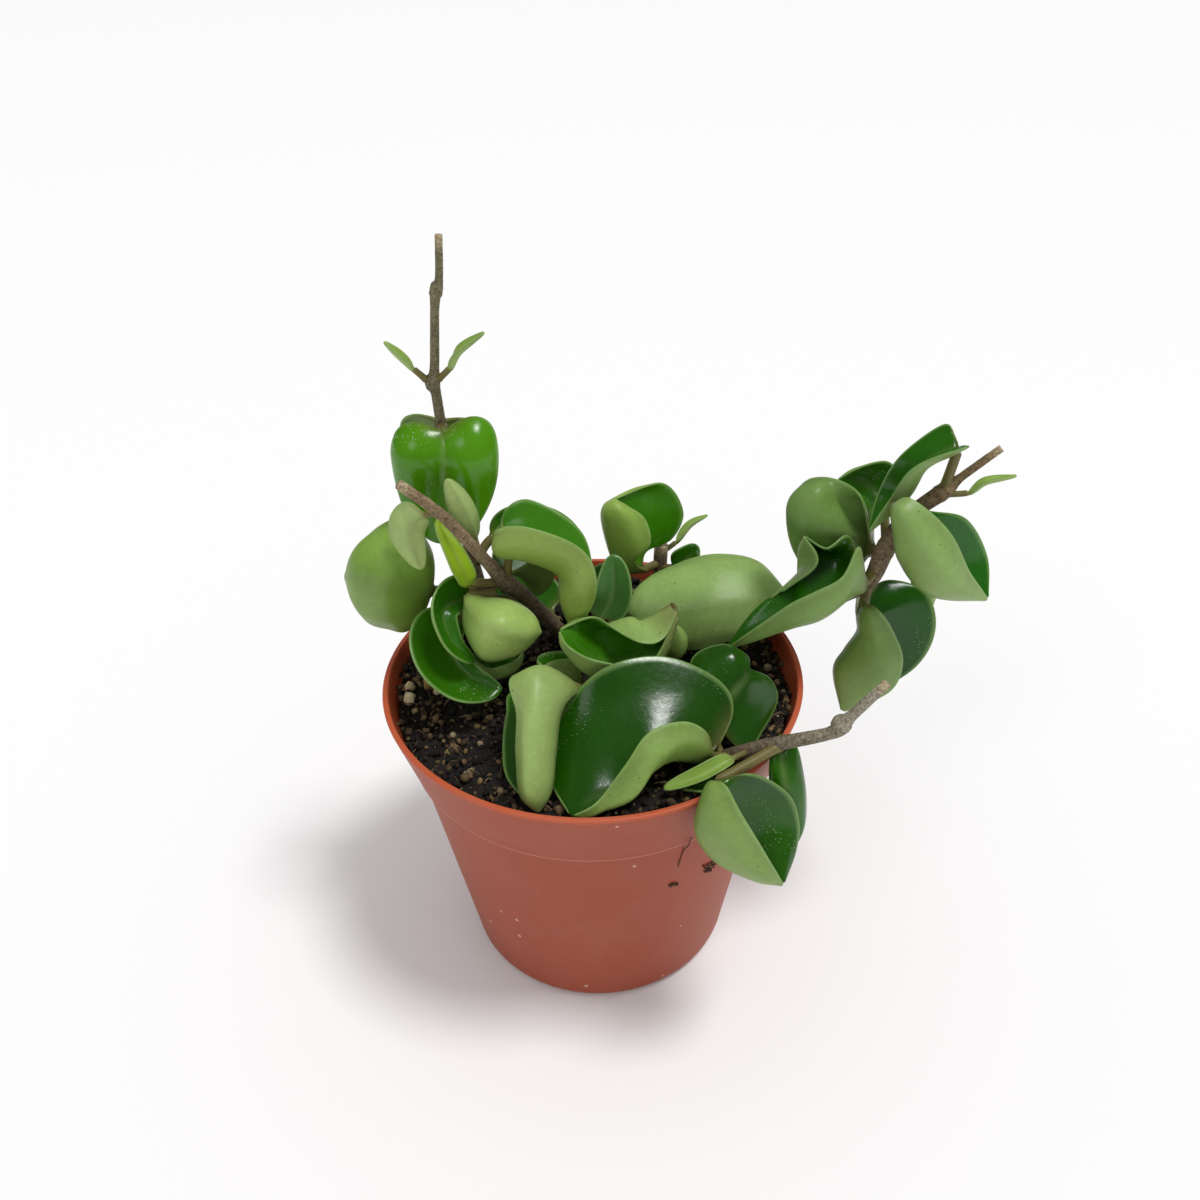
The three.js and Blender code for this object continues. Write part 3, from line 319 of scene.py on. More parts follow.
        face=(0, 0, 1), wide=11, left=(50, 10)),
    "right_rear": dict(
        rib=((74, 3.5, 118), (79, 9, 112), (82, 13, 108), (83, 17, 102), (82, 19, 96)),
        face=(0.3, 1, 0.6), wide=6, left=(60, 10)),
    "right_behind": dict(
        rib=((80, 0, 135.5), (82.5, 12, 135.5), (82, 17, 139.5), (79, 20, 142.5), (73.5, 20, 145),
            (70, 19, 145)),
        left_edge=((78.5, 14, 134.5), (74, 18, 137.5), (70.5, 19, 142.5)),
        right_edge=((85.5, 16, 145.5), (83, 18, 150.5), (76, 19, 149)),
        cup=(0, 0.1)),
}

# Upper and under side of the leaves that differ from the usual ones, as sRGB hex
LEAF_COLOURS = {
    "tall_heart": ("#4a8606", "#8aa65a"),
    "tall_dome": ("#4f7f10", "#73953a"),
    "tall_low": ("#2f6608", "#7b9a4c"),
    "tall_inner": ("#3a7a10", "#84a458"),
    "left_channel": ("#a8cc30", "#a8c44c"),
    "left_arch": ("#3f7e10", "#87a046"),
    "left_behind": ("#37740a", "#78983e"),
    "left_bowl": ("#3f821a", "#9db862"),
    "left_cup": ("#2f6c08", "#7c9c48"),
    "front_large": ("#1a4602", "#7a9648"),
    "front_dark": ("#1b4603", "#7a9648"),
    "front_hanging": ("#225204", "#769246"),
    "front_narrow": ("#245206", "#8fa85e"),
    "centre_oval": ("#2d660c", "#829f56"),
    "centre_folded": ("#38740c", "#86a256"),
    "centre_rolled": ("#34700c", "#829e52"),
    "centre_grey": ("#467334", "#86a266"),
    "centre_pale": ("#5d8a48", "#a8bf88"),
    "back_lobed": ("#3d8208", "#86a546"),
    "right_boat": ("#205604", "#73904a"),
    "right_cup": ("#2f6a08", "#688842"),
    "right_behind": ("#2a6206", "#789a46"),
    "right_arch": ("#225a04", "#7b9a4e"),
    "right_lower": ("#20640c", "#7f9c54"),
    "right_tip": ("#4c7a20", "#76923e"),
    "right_hanging": ("#1a5006", "#6c8a42"),
}
USUAL_LEAF = ("#285c08", "#7c9a4a")
YOUNG_LEAF = ("#86a548", "#9ab068")
# Colours of a leaf's stalk, of the line along its rib and of its rim
STALK_COLOUR, RIB_COLOUR, RIM_COLOUR = "#6f6638", "#a9c07a", "#86a860"

# Colour of each stem's young end
STEM_YOUNG = {
    "tall": "#8a8462", "left": "#a58d6c", "right": "#8a7450", "front": "#b3ae9c", "centre": "#6f6048",
    "back": "#6f6048",
}

# Grit that shows in the photo, as x, y and radius: three large pieces by the left wall, then smaller ones
GRIT = (
    (-52.5, -5.5, 2.5), (-53.0, 0.0, 1.9), (-48.0, 2.0, 2.5), (-45.0, -1.5, 1.7), (-50.5, -9.5, 1.3),
    (53.5, -1.0, 1.2), (54.5, -6.0, 1.0), (52.0, 7.0, 1.6), (51.5, 12.0, 1.0), (54.0, -10.5, 0.8),
    (-39.0, -20.5, 1.3), (-31.0, -25.0, 1.1), (-33.0, -36.0, 1.2), (-25.0, -42.0, 1.3), (-9.5, -50.5, 1.4),
    (-44.0, -12.0, 1.0))
FINE_GRIT = 260


def linear(hex_colour):
    """An sRGB hex value as linear red, green, blue and alpha."""
    value = np.array([int(hex_colour[i:i + 2], 16) / 255 for i in (1, 3, 5)])
    value = np.where(value <= 0.04045, value / 12.92, ((value + 0.055) / 1.055) ** 2.4)
    return (*value.tolist(), 1.0)


def mixed(first, second, share):
    """A blend of two colours, or of arrays of colours, by a share from 0 to 1 for each of them."""
    share = np.clip(share, 0, 1)[..., None]
    return np.asarray(first) * (1 - share) + np.asarray(second) * share


def smooth(low, high, x):
    """An S curve from 0 at low to 1 at high, level beyond them. It falls where low is above high."""
    t = np.clip((x - low) / (high - low), 0, 1)
    return t * t * (3 - 2 * t)


def unit(vectors):
    """Vectors scaled to length one."""
    return vectors / np.maximum(np.linalg.norm(vectors, axis=-1, keepdims=True), 1e-9)


def noise(points, cell, seed):
    """Value noise from -1 to 1: a random value at each corner of a lattice, blended smoothly between them.

    The lattice's cells are cell wide. A corner's value comes from its whole numbers and the seed, whose bits
    are mixed.
    """
    place = np.asarray(points) / cell
    corner = np.floor(place).astype(np.int64)
    share = place - corner
    share = share * share * (3 - 2 * share)
    total = np.zeros(place.shape[:-1])
    for step in product((0, 1), repeat=3):
        bits = (corner + np.array(step)) @ np.array((374761393, 668265263, 1440662683)) + seed * 1274126177
        bits = bits & 0xFFFFFFFF
        bits = ((bits ^ (bits >> 13)) * 1274126177) & 0xFFFFFFFF
        value = ((bits ^ (bits >> 16)) & 0xFFFF) / 32767.5 - 1
        total += value * np.prod(np.where(np.array(step) == 1, share, 1 - share), axis=-1)
    return total


def smooth_line(points, places):
    """A smooth line through the points, at places from 0 to 1.

    At a point it runs the way from the point before to the point after, and between them it is a cubic. Past
    each end the points are taken to go on by the last step.
    """
    points = np.asarray(points, float)
    padded = np.concatenate([[2 * points[0] - points[1]], points, [2 * points[-1] - points[-2]]])
    x = np.clip(np.asarray(places) * (len(points) - 1), 0, len(points) - 1)
    k = np.minimum(x.astype(int), len(points) - 2)
    t = (x - k).reshape(x.shape + (1,) * (points.ndim - 1))
    a, b, c, d = (padded[k + i] for i in range(4))
    return 0.5 * (2 * b + (c - a) * t + (2 * a - 5 * b + 4 * c - d) * t ** 2
                  + (3 * b - a - 3 * c + d) * t ** 3)


def along(value, share):
    """One number, or a list of them that runs from the leaf's base to its tip, read at shares of the way."""
    if np.isscalar(value):
        return np.full(np.shape(share), float(value))
    return np.interp(share, np.linspace(0, 1, len(value)), value)


def carried_frames(place, start, first):
    """A line's directions, and a side vector that is carried along it both ways from index start.

    The side vector turns as little as it can.
    """
    forward = unit(np.gradient(place, axis=0))
    up = np.zeros_like(place)
    up[start] = unit(first - forward[start] * (first @ forward[start]))
    for way, last in ((1, len(place)), (-1, -1)):
        for i in range(start + way, last, way):
            up[i] = unit(up[i - way] - forward[i] * (up[i - way] @ forward[i]))
    return forward, up


def circles(first, second, angle):
    """Points at these angles on unit circles, one for each pair of axes, from the first to the second."""
    angle = angle[:, None]
    return first[:, None] * np.cos(angle) + second[:, None] * np.sin(angle)


class RibBlade:
    """A leaf along its midrib. Distance 0 on that line is where the stalk ends and the blade begins."""

    def __init__(self, rib, face, wide, left, right=None, heart=0):
        self.wide, self.heart = wide if isinstance(wide, tuple) else (wide, wide), heart
        self.left, self.right = left, right or left
        self.place = smooth_line(rib, np.linspace(0, 1, RIB_SAMPLES + 1))
        self.base = round(RIB_SAMPLES / (len(rib) - 1))
        step = np.linalg.norm(np.diff(self.place, axis=0), axis=1)
        self.s = np.concatenate([[0], np.cumsum(step)])
        self.stalk_length = self.s[self.base]
        self.s = self.s - self.stalk_length
        self.length = self.s[-1]
        self.forward, self.up = carried_frames(self.place, self.base, np.array(face, float))

    def at(self, distance, first=0):
        """The point and its two cross axes at distances along the line. Past an end it runs straight on."""
        i = np.clip(np.searchsorted(self.s, distance) - 1, first, RIB_SAMPLES - 1)
        share = (distance - self.s[i]) / (self.s[i + 1] - self.s[i])
        inside = np.clip(share, 0, 1)[..., None]
        place, forward, up = (line[i] * (1 - inside) + line[i + 1] * inside
                              for line in (self.place, self.forward, self.up))
        forward, up = unit(forward), unit(up)
        beyond = (distance - self.s[i] - inside[..., 0] * (self.s[i + 1] - self.s[i]))[..., None]
        return place + forward * beyond, up, np.cross(forward, up)

    def stalk(self, share):
        """The stalk's middle and cross axes at shares of the way to the blade."""
        return self.at(-self.stalk_length * (1 - share))

    def middle(self, f_line, v_line):
        """The middle surface. f runs from the stalk, 0, to the tip, pi, and v from -1 to 1 across.

        The flat outline is an ellipse, sin(f), made fuller toward the base, and heart draws the base back
        into two lobes. Each half then climbs from the rib at its fold angle, and bends by its arch angle on
        the way to the margin. Its section is the sum of short steps, each at the angle reached there.
        """
        f, v = np.meshgrid(f_line, v_line, indexing="ij")
        wide = np.where(v < 0, *self.wide)
        half_width = wide * np.sin(f) * (1 + OVATE * np.cos(f)) / (1 + 0.5 * OVATE ** 2)
        lobe = np.sin(f) * ((1 + np.cos(f)) / 2) ** 1.5 * 2.2
        s = self.length * (1 - np.cos(f)) / 2 - self.heart * lobe * np.abs(v) ** 1.3
        share = np.clip(s / self.length, 0, 1)
        fold, arch = (np.where(v < 0, along(left, share), along(right, share))
                      for left, right in zip(self.left, self.right))
        reach = half_width * np.abs(v)
        w = reach[..., None] * (np.arange(ARC_STEPS) + 0.5) / ARC_STEPS
        turn = np.radians(fold)[..., None] * (1 - np.exp(-w / CREASE))
        turn += np.radians(arch)[..., None] * w / wide[..., None]
        x = np.cos(turn).mean(-1) * reach * np.sign(v)
        y = np.sin(turn).mean(-1) * reach
        place, up, side = self.at(s, self.base)
        return place + side * x[..., None] + up * y[..., None]


class EdgedBlade:
    """A leaf of three lines: its midrib, and both edges, which leave it at the base and meet it at the tip.

    The middle of each half lies below the straight way from rib to edge by its cup, a share of that way.
    """

    def __init__(self, rib, left_edge, right_edge, cup):
        line = np.array(rib[1:], float)
        inner, run = line[1:-1], unit(line[2:] - line[:-2])
        self.start, self.base = np.array(rib[0], float), line[0]
        self.stalk_length = np.linalg.norm(self.base - self.start)

        def half(edge, side, depth):
            reach = np.array(edge, float) - inner
            down = side * unit(np.cross(run, reach)) * np.linalg.norm(reach, axis=1, keepdims=True)
            depth = along(depth, np.linspace(0, 1, len(inner)))[:, None]
            return inner + MIDDLE_SHARE * reach + down * depth

        columns = (left_edge, half(left_edge, -1, cup[0]), inner, half(right_edge, 1, cup[1]), right_edge)
        self.rows = np.stack([np.vstack([line[0], column, line[-1]]) for column in columns], 1)

    def middle(self, f_line, v_line):
        """A smooth line through each column from base to tip, and another through the points of each row."""
        columns = smooth_line(self.rows, f_line / pi)
        return smooth_line(columns.swapaxes(0, 1), (v_line + 1) / 2).swapaxes(0, 1)

    def stalk(self, share):
        """The stalk's middle and cross axes at shares of the way to the blade."""
        left, centre, right = self.middle(np.array([BASE_ANGLE]), np.array([-1.0, 0.0, 1.0]))[0]
        forward = unit(self.base - self.start)
        up = np.cross(right - left, centre - self.base)
        up = unit(up - forward * (up @ forward))
        up, side = (np.tile(axis, (len(share), 1)) for axis in (up, np.cross(forward, up)))
        return self.start + (self.base - self.start) * share[:, None], up, side


def make_piece(name, points, faces):
    """A smooth mesh object from points in millimetres and faces."""
    mesh = bpy.data.meshes.new(name)
    mesh.from_pydata((np.asarray(points) * MM).tolist(), [], faces)
    mesh.polygons.foreach_set("use_smooth", np.ones(len(mesh.polygons), bool))
    mesh.update()
    piece = bpy.data.objects.new(name, mesh)
    bpy.context.scene.collection.objects.link(piece)
    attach(piece, "root")
    return piece


def skin(name, rings):
    """A closed surface through a stack of rings of equal size, with a fan on each end ring to its middle."""
    count, size = rings.shape[:2]
    grid = np.arange(count * size).reshape(count, size)
    after = np.roll(grid, -1, 1)
    faces = np.stack([grid[:-1], after[:-1], after[1:], grid[1:]], -1).reshape(-1, 4).tolist()
    low, high = (np.full(size, count * size + end) for end in (0, 1))
    faces += np.stack([low, after[0], grid[0]], -1).tolist()
    faces += np.stack([high, grid[-1], after[-1]], -1).tolist()
    return make_piece(name, np.vstack([rings.reshape(-1, 3), rings[0].mean(0), rings[-1].mean(0)]), faces)


def paint(piece, **values):
    """Gives a mesh one number or one opaque colour per vertex for each named attribute.

    The two middle points at the end of a skin take the values of its first and last point.
    """
    for name, value in values.items():
        coloured = value.shape[-1] == 4
        value = np.array(value.reshape(-1, 4) if coloured else value.ravel(), np.float32)
        if len(value) < len(piece.data.vertices):
            value = np.concatenate([value, value[:1], value[-1:]])
        if coloured:
            value[:, 3] = 1
        attribute = piece.data.attributes.new(name, "FLOAT_COLOR" if coloured else "FLOAT", "POINT")
        attribute.data.foreach_set("color" if coloured else "value", value.ravel())


def dress(piece, material, node=None):
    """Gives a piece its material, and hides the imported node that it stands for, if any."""
    piece.data.materials.append(material)
    if node:
        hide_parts(node)


def blade_rings(sheet, seed, ripple, slim):
    """The blade's rings, with f, v and how far up each of their points faces, and how wide the rib is in v.

    The middle surface waves by a noise 9 mm wide, most near the margins, and is then thickened both ways,
    most at the rib. A ring runs across the upper side, round the right margin, back across the under side
    and round the left margin. Along the rib the upper side has a groove and the under side a keel, which
    fade toward the tip.
    """
    spread = np.linspace(-1, 1, LEAF_ACROSS)
    f_line = np.linspace(BASE_ANGLE, TIP_ANGLE, LEAF_ROWS)
    v_line = np.sign(spread) * np.abs(spread) ** 0.9
    f, v = np.meshgrid(f_line, v_line, indexing="ij")
    middle = sheet.middle(f_line, v_line)
    span = np.gradient(middle, axis=1)
    normal = unit(np.cross(span, np.gradient(middle, axis=0)))
    wave = noise(middle + seed * 31.0, 9.0, seed) * ripple * np.abs(v) ** 0.8
    wave = wave * (smooth(BASE_ANGLE, 0.9, f) * smooth(0, 0.7, TIP_ANGLE + 0.1 - f))
    middle = middle + normal * wave[..., None]
    thick = slim * LEAF_THICKNESS / 2 * (1 - (1 - MARGIN_SHARE) * v ** 2)
    thick = thick * (0.6 + 0.4 * smooth(0, 0.5, pi - f))
    rib_v = RIB_WIDTH / np.linalg.norm(span, axis=-1).sum(1).max()
    rib = np.exp(-(v / rib_v) ** 2) * smooth(3.0, 1.6, f)
    upper = middle + normal * (thick - GROOVE * rib)[..., None]
    lower = middle - normal * (thick + KEEL * rib)[..., None]
    turn = (np.arange(EDGE_POINTS) + 1) * pi / (EDGE_POINTS + 1)

    def margin(column, outward, angle):
        radius = thick[:, column][:, None, None]
        return middle[:, column][:, None] + radius * circles(normal[:, column], unit(outward), angle)

    right, left = margin(-1, span[:, -1], turn), margin(0, -span[:, 0], turn[::-1])
    rings = np.concatenate([upper, right, lower[:, ::-1], left], 1)

    def around(value):
        right, left = (np.repeat(value[:, [column]], EDGE_POINTS, 1) for column in (-1, 0))
        return np.concatenate([value, right, value[:, ::-1], left], 1)

    edge = np.tile((np.cos(turn) + 1) / 2, (LEAF_ROWS, 1))
    facing = np.concatenate([np.ones_like(v), edge, np.zeros_like(v), edge[:, ::-1]], 1)
    return rings, around(f), around(v), facing, rib_v


def stalk_rings(sheet, slim):
    """The stalk's circles, from the stem's axis to the blade, a little wider at the stem.

    Each point of a circle goes straight on to its place in the blade's first ring.
    """
    angle = np.concatenate([
        np.linspace(pi - 0.25, 0.25, LEAF_ACROSS), np.linspace(0.2, -0.2, EDGE_POINTS),
        np.linspace(-0.25, -pi + 0.25, LEAF_ACROSS), np.linspace(-pi + 0.2, -pi - 0.2, EDGE_POINTS)])
    share = np.linspace(0, 1, STALK_ROWS, endpoint=False)
    place, up, side = sheet.stalk(share)
    radius = slim * STALK_RADIUS * (1 + 0.25 * np.exp(-share * sheet.stalk_length / 1.5))
    return place[:, None] + circles(side, up, angle) * radius[:, None, None]


def leaf_tint(rings, f, v, facing, rib_v, colours, seed):
    """The blade's colours: its two sides, patches of tone 11 and 4 mm wide, and painted shade along the rib's
    crease and toward the edges.

    Over these come a pale line on the rib, a pale rim, and the stalk's brown at the blade's base.
    """
    upper, under = colours
    colour = mixed(linear(under), linear(upper), smooth(0.35, 0.65, facing))
    patch = 0.13 * noise(rings + seed * 17.0, 11.0, seed + 5) + 0.07 * noise(rings, 4.0, seed + 6)
    # Painted shade: the colour darkens along the rib's crease and toward the margins, half as much on the
    # upper side
    inner = 0.22 * np.exp(-(v / 0.16) ** 2) + 0.16 * smooth(0.6, 1.0, np.abs(v))
    colour = colour * (1.06 + patch - inner * (1 - 0.5 * facing))[..., None]
    pale_rib = np.exp(-(v / (0.8 * rib_v)) ** 2) * smooth(2.8, 1.2, f) * 0.18
    colour = mixed(colour, linear(RIB_COLOUR), pale_rib * (0.4 + 0.6 * facing))
    colour = mixed(colour, linear(RIM_COLOUR), 0.5 * smooth(0.95, 1.0, np.abs(v)))
    return mixed(colour, linear(STALK_COLOUR), 0.56 * smooth(0.75, 0.1, f))


def leaf_piece(name, shape, colours, seed, ripple, slim):
    """One leaf, with its stalk and its blade in one closed skin."""
    sheet = EdgedBlade(**shape) if "cup" in shape else RibBlade(**shape)
    rings, f, v, facing, rib_v = blade_rings(sheet, seed, ripple, slim)
    piece = skin("leaf_" + name, np.concatenate([stalk_rings(sheet, slim), rings]))
    stalk = np.broadcast_to(linear(STALK_COLOUR), (STALK_ROWS, rings.shape[1], 4))
    tint = np.concatenate([stalk, leaf_tint(rings, f, v, facing, rib_v, colours, seed)])
    paint(piece, Tint=tint, Upper=np.concatenate([np.zeros((STALK_ROWS, rings.shape[1])), facing]))
    return piece


def add(tree, kind, inputs=(), **settings):
    """Adds a shader node with its settings. Its inputs come in order, or by name or number in a dictionary.

    An input is a value, or the socket that it is linked from, or a node, which stands for its first output
    in use.
    """
    made = tree.nodes.new("ShaderNode" + kind)
    for key, value in settings.items():
        setattr(made, key, value)
    for key, value in inputs.items() if isinstance(inputs, dict) else enumerate(inputs):
        if isinstance(value, bpy.types.Node):
            value = next(socket for socket in value.outputs if socket.enabled)
        if isinstance(value, bpy.types.NodeSocket):
            tree.links.new(value, made.inputs[key])
        else:
            made.inputs[key].default_value = value
    return made


def new_material(name):
    """An empty node material, and its tree."""
    material = bpy.data.materials.new(name)
    material.use_nodes = True
    tree = material.node_tree
    tree.nodes.clear()
    return material, tree


# Settings of the Mix nodes. Their inputs 0, 6 and 7 are the share and the two colours.
BLEND = {"data_type": "RGBA"}
TINTED = {"data_type": "RGBA", "blend_type": "MULTIPLY"}


def waxy_leaf(name, roughness, flecks, pits):
    """Living succulent leaf with a waxy skin, glossy above and satin below.

    Some light comes through its flesh. It has fine pale flecks in clusters above, and a few dark pits below.
    """
    material, tree = new_material(name)
    place = add(tree, "TexCoord").outputs["Object"]
    tint = add(tree, "Attribute", attribute_name="Tint")
    upper = add(tree, "Attribute", attribute_name="Upper").outputs["Fac"]
    # Mottling 1.7 mm wide, stronger on the under side
    mottle = add(tree, "TexNoise", {"Vector": place, "Scale": 600.0, "Detail": 3.0, "Roughness": 0.6})
    uneven = add(tree, "Math", (upper, -0.15, 0.35), operation="MULTIPLY_ADD")
    centred = add(tree, "Math", (mottle, 0.5), operation="SUBTRACT")
    tone = add(tree, "Math", (centred, uneven, 1.0), operation="MULTIPLY_ADD")
    colour = add(tree, "Mix", {0: 1.0, 6: tint, 7: add(tree, "CombineColor", (tone, tone, tone))}, **TINTED)
    # Flecks up to 0.3 mm wide in cells 0.7 mm wide, in loose clusters on the upper side
    cells = add(tree, "TexVoronoi", {"Vector": place, "Scale": 1400.0})
    draw = add(tree, "SeparateColor", (cells.outputs["Color"],))
    chosen = add(tree, "Math", (draw, 0.6), operation="GREATER_THAN")
    cluster = add(tree, "TexNoise", {"Vector": place, "Scale": 55.0})
    size = add(tree, "Math", (cluster, 0.4), operation="SUBTRACT")
    within = add(tree, "Math", (size, cells), operation="SUBTRACT")
    dot = add(tree, "Math", (within, 12.0), operation="MULTIPLY", use_clamp=True)
    dot = add(tree, "Math", (dot, chosen), operation="MULTIPLY")
    above = add(tree, "Math", (upper, 0.5, 0.5), operation="MULTIPLY_ADD")
    dot = add(tree, "Math", (dot, above), operation="MULTIPLY")
    dot = add(tree, "Math", (dot, flecks), operation="MULTIPLY")
    colour = add(tree, "Mix", {0: dot, 6: colour, 7: linear("#b4c4a0")}, **BLEND)
    # Pits up to 0.5 mm wide in one of eight cells 1.8 mm wide, on the under side
    cells = add(tree, "TexVoronoi", {"Vector": place, "Scale": 560.0})
    draw = add(tree, "SeparateColor", (cells.outputs["Color"],)).outputs[1]
    chosen = add(tree, "Math", (draw, 0.88), operation="GREATER_THAN")
    pit = add(tree, "Math", (cells, 0.13), operation="LESS_THAN")
    pit = add(tree, "Math", (pit, chosen), operation="MULTIPLY")
    below = add(tree, "Math", (1.0, upper), operation="SUBTRACT")
    pit = add(tree, "Math", (pit, below), operation="MULTIPLY")
    pit = add(tree, "Math", (pit, pits), operation="MULTIPLY")
    colour = add(tree, "Mix", {0: pit, 6: colour, 7: linear("#4a5a2c")}, **BLEND)
    bump = add(tree, "Bump", {"Height": mottle, "Strength": 0.08, "Distance": 0.0006})
    gloss = add(tree, "Math", (mottle, 0.1, roughness), operation="MULTIPLY_ADD")
    gloss = add(tree, "Math", (upper, -0.2, gloss), operation="MULTIPLY_ADD")
    shader = add(tree, "BsdfPrincipled", {
        "Base Color": colour, "Roughness": gloss, "Normal": bump, "IOR": 1.42, "Specular IOR Level": 0.5,
        "Subsurface Weight": 0.06, "Subsurface Scale": 0.001, "Subsurface Radius": (0.5, 1.0, 0.15)})
    add(tree, "OutputMaterial", (shader,))
    return material


def corky_stem():
    """Woody hoya stem: dull grey-brown bark with fine pale corky dots, and a pale dry face at the cut."""
    material, tree = new_material("corky stem")
    place = add(tree, "TexCoord").outputs["Object"]
    tint = add(tree, "Attribute", attribute_name="Tint")
    # Cork dots 0.8 mm wide
    grain = add(tree, "TexNoise", {"Vector": place, "Scale": 1300.0, "Detail": 4.0, "Roughness": 0.6})
    ramp = add(tree, "ValToRGB", (grain,))
    for stop, (at, shade) in zip(ramp.color_ramp.elements, ((0.35, "#a0968a"), (0.68, "#ffffff"))):
        stop.position, stop.color = at, linear(shade)
    colour = add(tree, "Mix", {0: 1.0, 6: tint, 7: ramp}, **TINTED)
    bump = add(tree, "Bump", {"Height": grain, "Strength": 0.25, "Distance": 0.0004})
    shader = add(tree, "BsdfPrincipled", {"Base Color": colour, "Normal": bump, "Roughness": 0.72})
    add(tree, "OutputMaterial", (shader,))
    return material


def moulded_pot(wall, painted_lip_glow):
    """Injection-moulded polypropylene in terracotta colour: satin, even, with dust and dried drops.

    Its thin lip is painted a brighter orange, a painted glow of the light that comes through it and falls on
    its top. The band's lower edge has a painted highlight, and a painted shade below it.
    """
    material, tree = new_material("moulded polypropylene")
    place = add(tree, "TexCoord").outputs["Object"]
    height = add(tree, "SeparateXYZ", (place,)).outputs[2]
    # Painted light: the top 1.7 mm blend to the lip's brighter orange, a painted glow of light through the
    # thin lip and on its top
    edge = add(tree, "MapRange", {"Value": height, "From Min": (POT_HEIGHT - 2) * MM,
                                  "From Max": (POT_HEIGHT - 0.3) * MM})
    colour = add(tree, "Mix", {0: edge, 6: wall, 7: painted_lip_glow}, **BLEND)
    # Painted light at the band's lower edge: a painted highlight, a pale line over 0.6 mm where the edge
    # catches light, and a painted shade over the 1.6 mm below it, under the step
    for up, half, share, shade in ((0.3, 0.3, 0.5, "#cf8f78"), (-0.9, 0.8, 0.35, "#6d2f20")):
        painted_band_light = add(tree, "Math", (height, (BAND_FOOT + up) * MM, half * MM), operation="COMPARE")
        painted_band_light = add(tree, "Math", (painted_band_light, share), operation="MULTIPLY")
        colour = add(tree, "Mix", {0: painted_band_light, 6: colour, 7: linear(shade)}, **BLEND)
    # Dust in clouds 22 mm wide
    cloud = add(tree, "TexNoise", {"Vector": place, "Scale": 45.0, "Detail": 6.0, "Roughness": 0.6})
    dust = add(tree, "MapRange", {"Value": cloud, "From Min": 0.45, "From Max": 0.8, "To Max": 0.1})
    colour = add(tree, "Mix", {0: dust, 6: colour, 7: linear("#c9a08e")}, **BLEND)
    # Dried drops 1.2 mm wide, in one of fourteen cells 4.8 mm wide
    drops = add(tree, "TexVoronoi", {"Vector": place, "Scale": 210.0})
    draw = add(tree, "SeparateColor", (drops.outputs["Color"],))
    rare = add(tree, "Math", (draw, 0.93), operation="GREATER_THAN")
    spot = add(tree, "Math", (drops, 0.13), operation="LESS_THAN")
    spot = add(tree, "Math", (spot, rare), operation="MULTIPLY")
    spot = add(tree, "Math", (spot, 0.6), operation="MULTIPLY")
    colour = add(tree, "Mix", {0: spot, 6: colour, 7: linear("#e2c8b8")}, **BLEND)
    # The mould's fine texture, 0.7 mm wide
    grain = add(tree, "TexNoise", {"Vector": place, "Scale": 1400.0, "Detail": 2.0})
    bump = add(tree, "Bump", {"Height": grain, "Strength": 0.12, "Distance": 0.0002})
    rough = add(tree, "MapRange", {"Value": cloud, "To Min": 0.38, "To Max": 0.58})
    shader = add(tree, "BsdfPrincipled", {
        "Base Color": colour, "Roughness": rough, "Normal": bump, "IOR": 1.49, "Specular IOR Level": 0.35,
        "Subsurface Weight": 0.05, "Subsurface Scale": 0.001, "Subsurface Radius": (1.0, 0.4, 0.2)})
    add(tree, "OutputMaterial", (shader,))
    return material


def loose(name, roughness, scale):
    """Loose natural matter that takes its colour from its mesh, such as peat, bark crumbs or pumice.

    Its tone and relief vary by grains 0.6 to 1.1 mm wide, which is 1 / scale in metres.
    """
    material, tree = new_material(name)
    place = add(tree, "TexCoord").outputs["Object"]
    tint = add(tree, "Attribute", attribute_name="Tint")
    grain = add(tree, "TexNoise", {"Vector": place, "Scale": scale, "Detail": 5.0, "Roughness": 0.7})
    tone = add(tree, "MapRange", {"Value": grain, "From Min": 0.25, "From Max": 0.75, "To Min": 0.45,
                                  "To Max": 1.5})
    colour = add(tree, "Mix", {0: 1.0, 6: tint, 7: add(tree, "CombineColor", (tone, tone, tone))}, **TINTED)
    bump = add(tree, "Bump", {"Height": grain, "Strength": 0.7, "Distance": 0.0006})
    shader = add(tree, "BsdfPrincipled", {"Base Color": colour, "Normal": bump, "Roughness": roughness})
    add(tree, "OutputMaterial", (shader,))
    return material


def wall_radius(z):
    """The wall's outer radius at a height below the band."""
    return BASE_RADIUS + TAPER * z


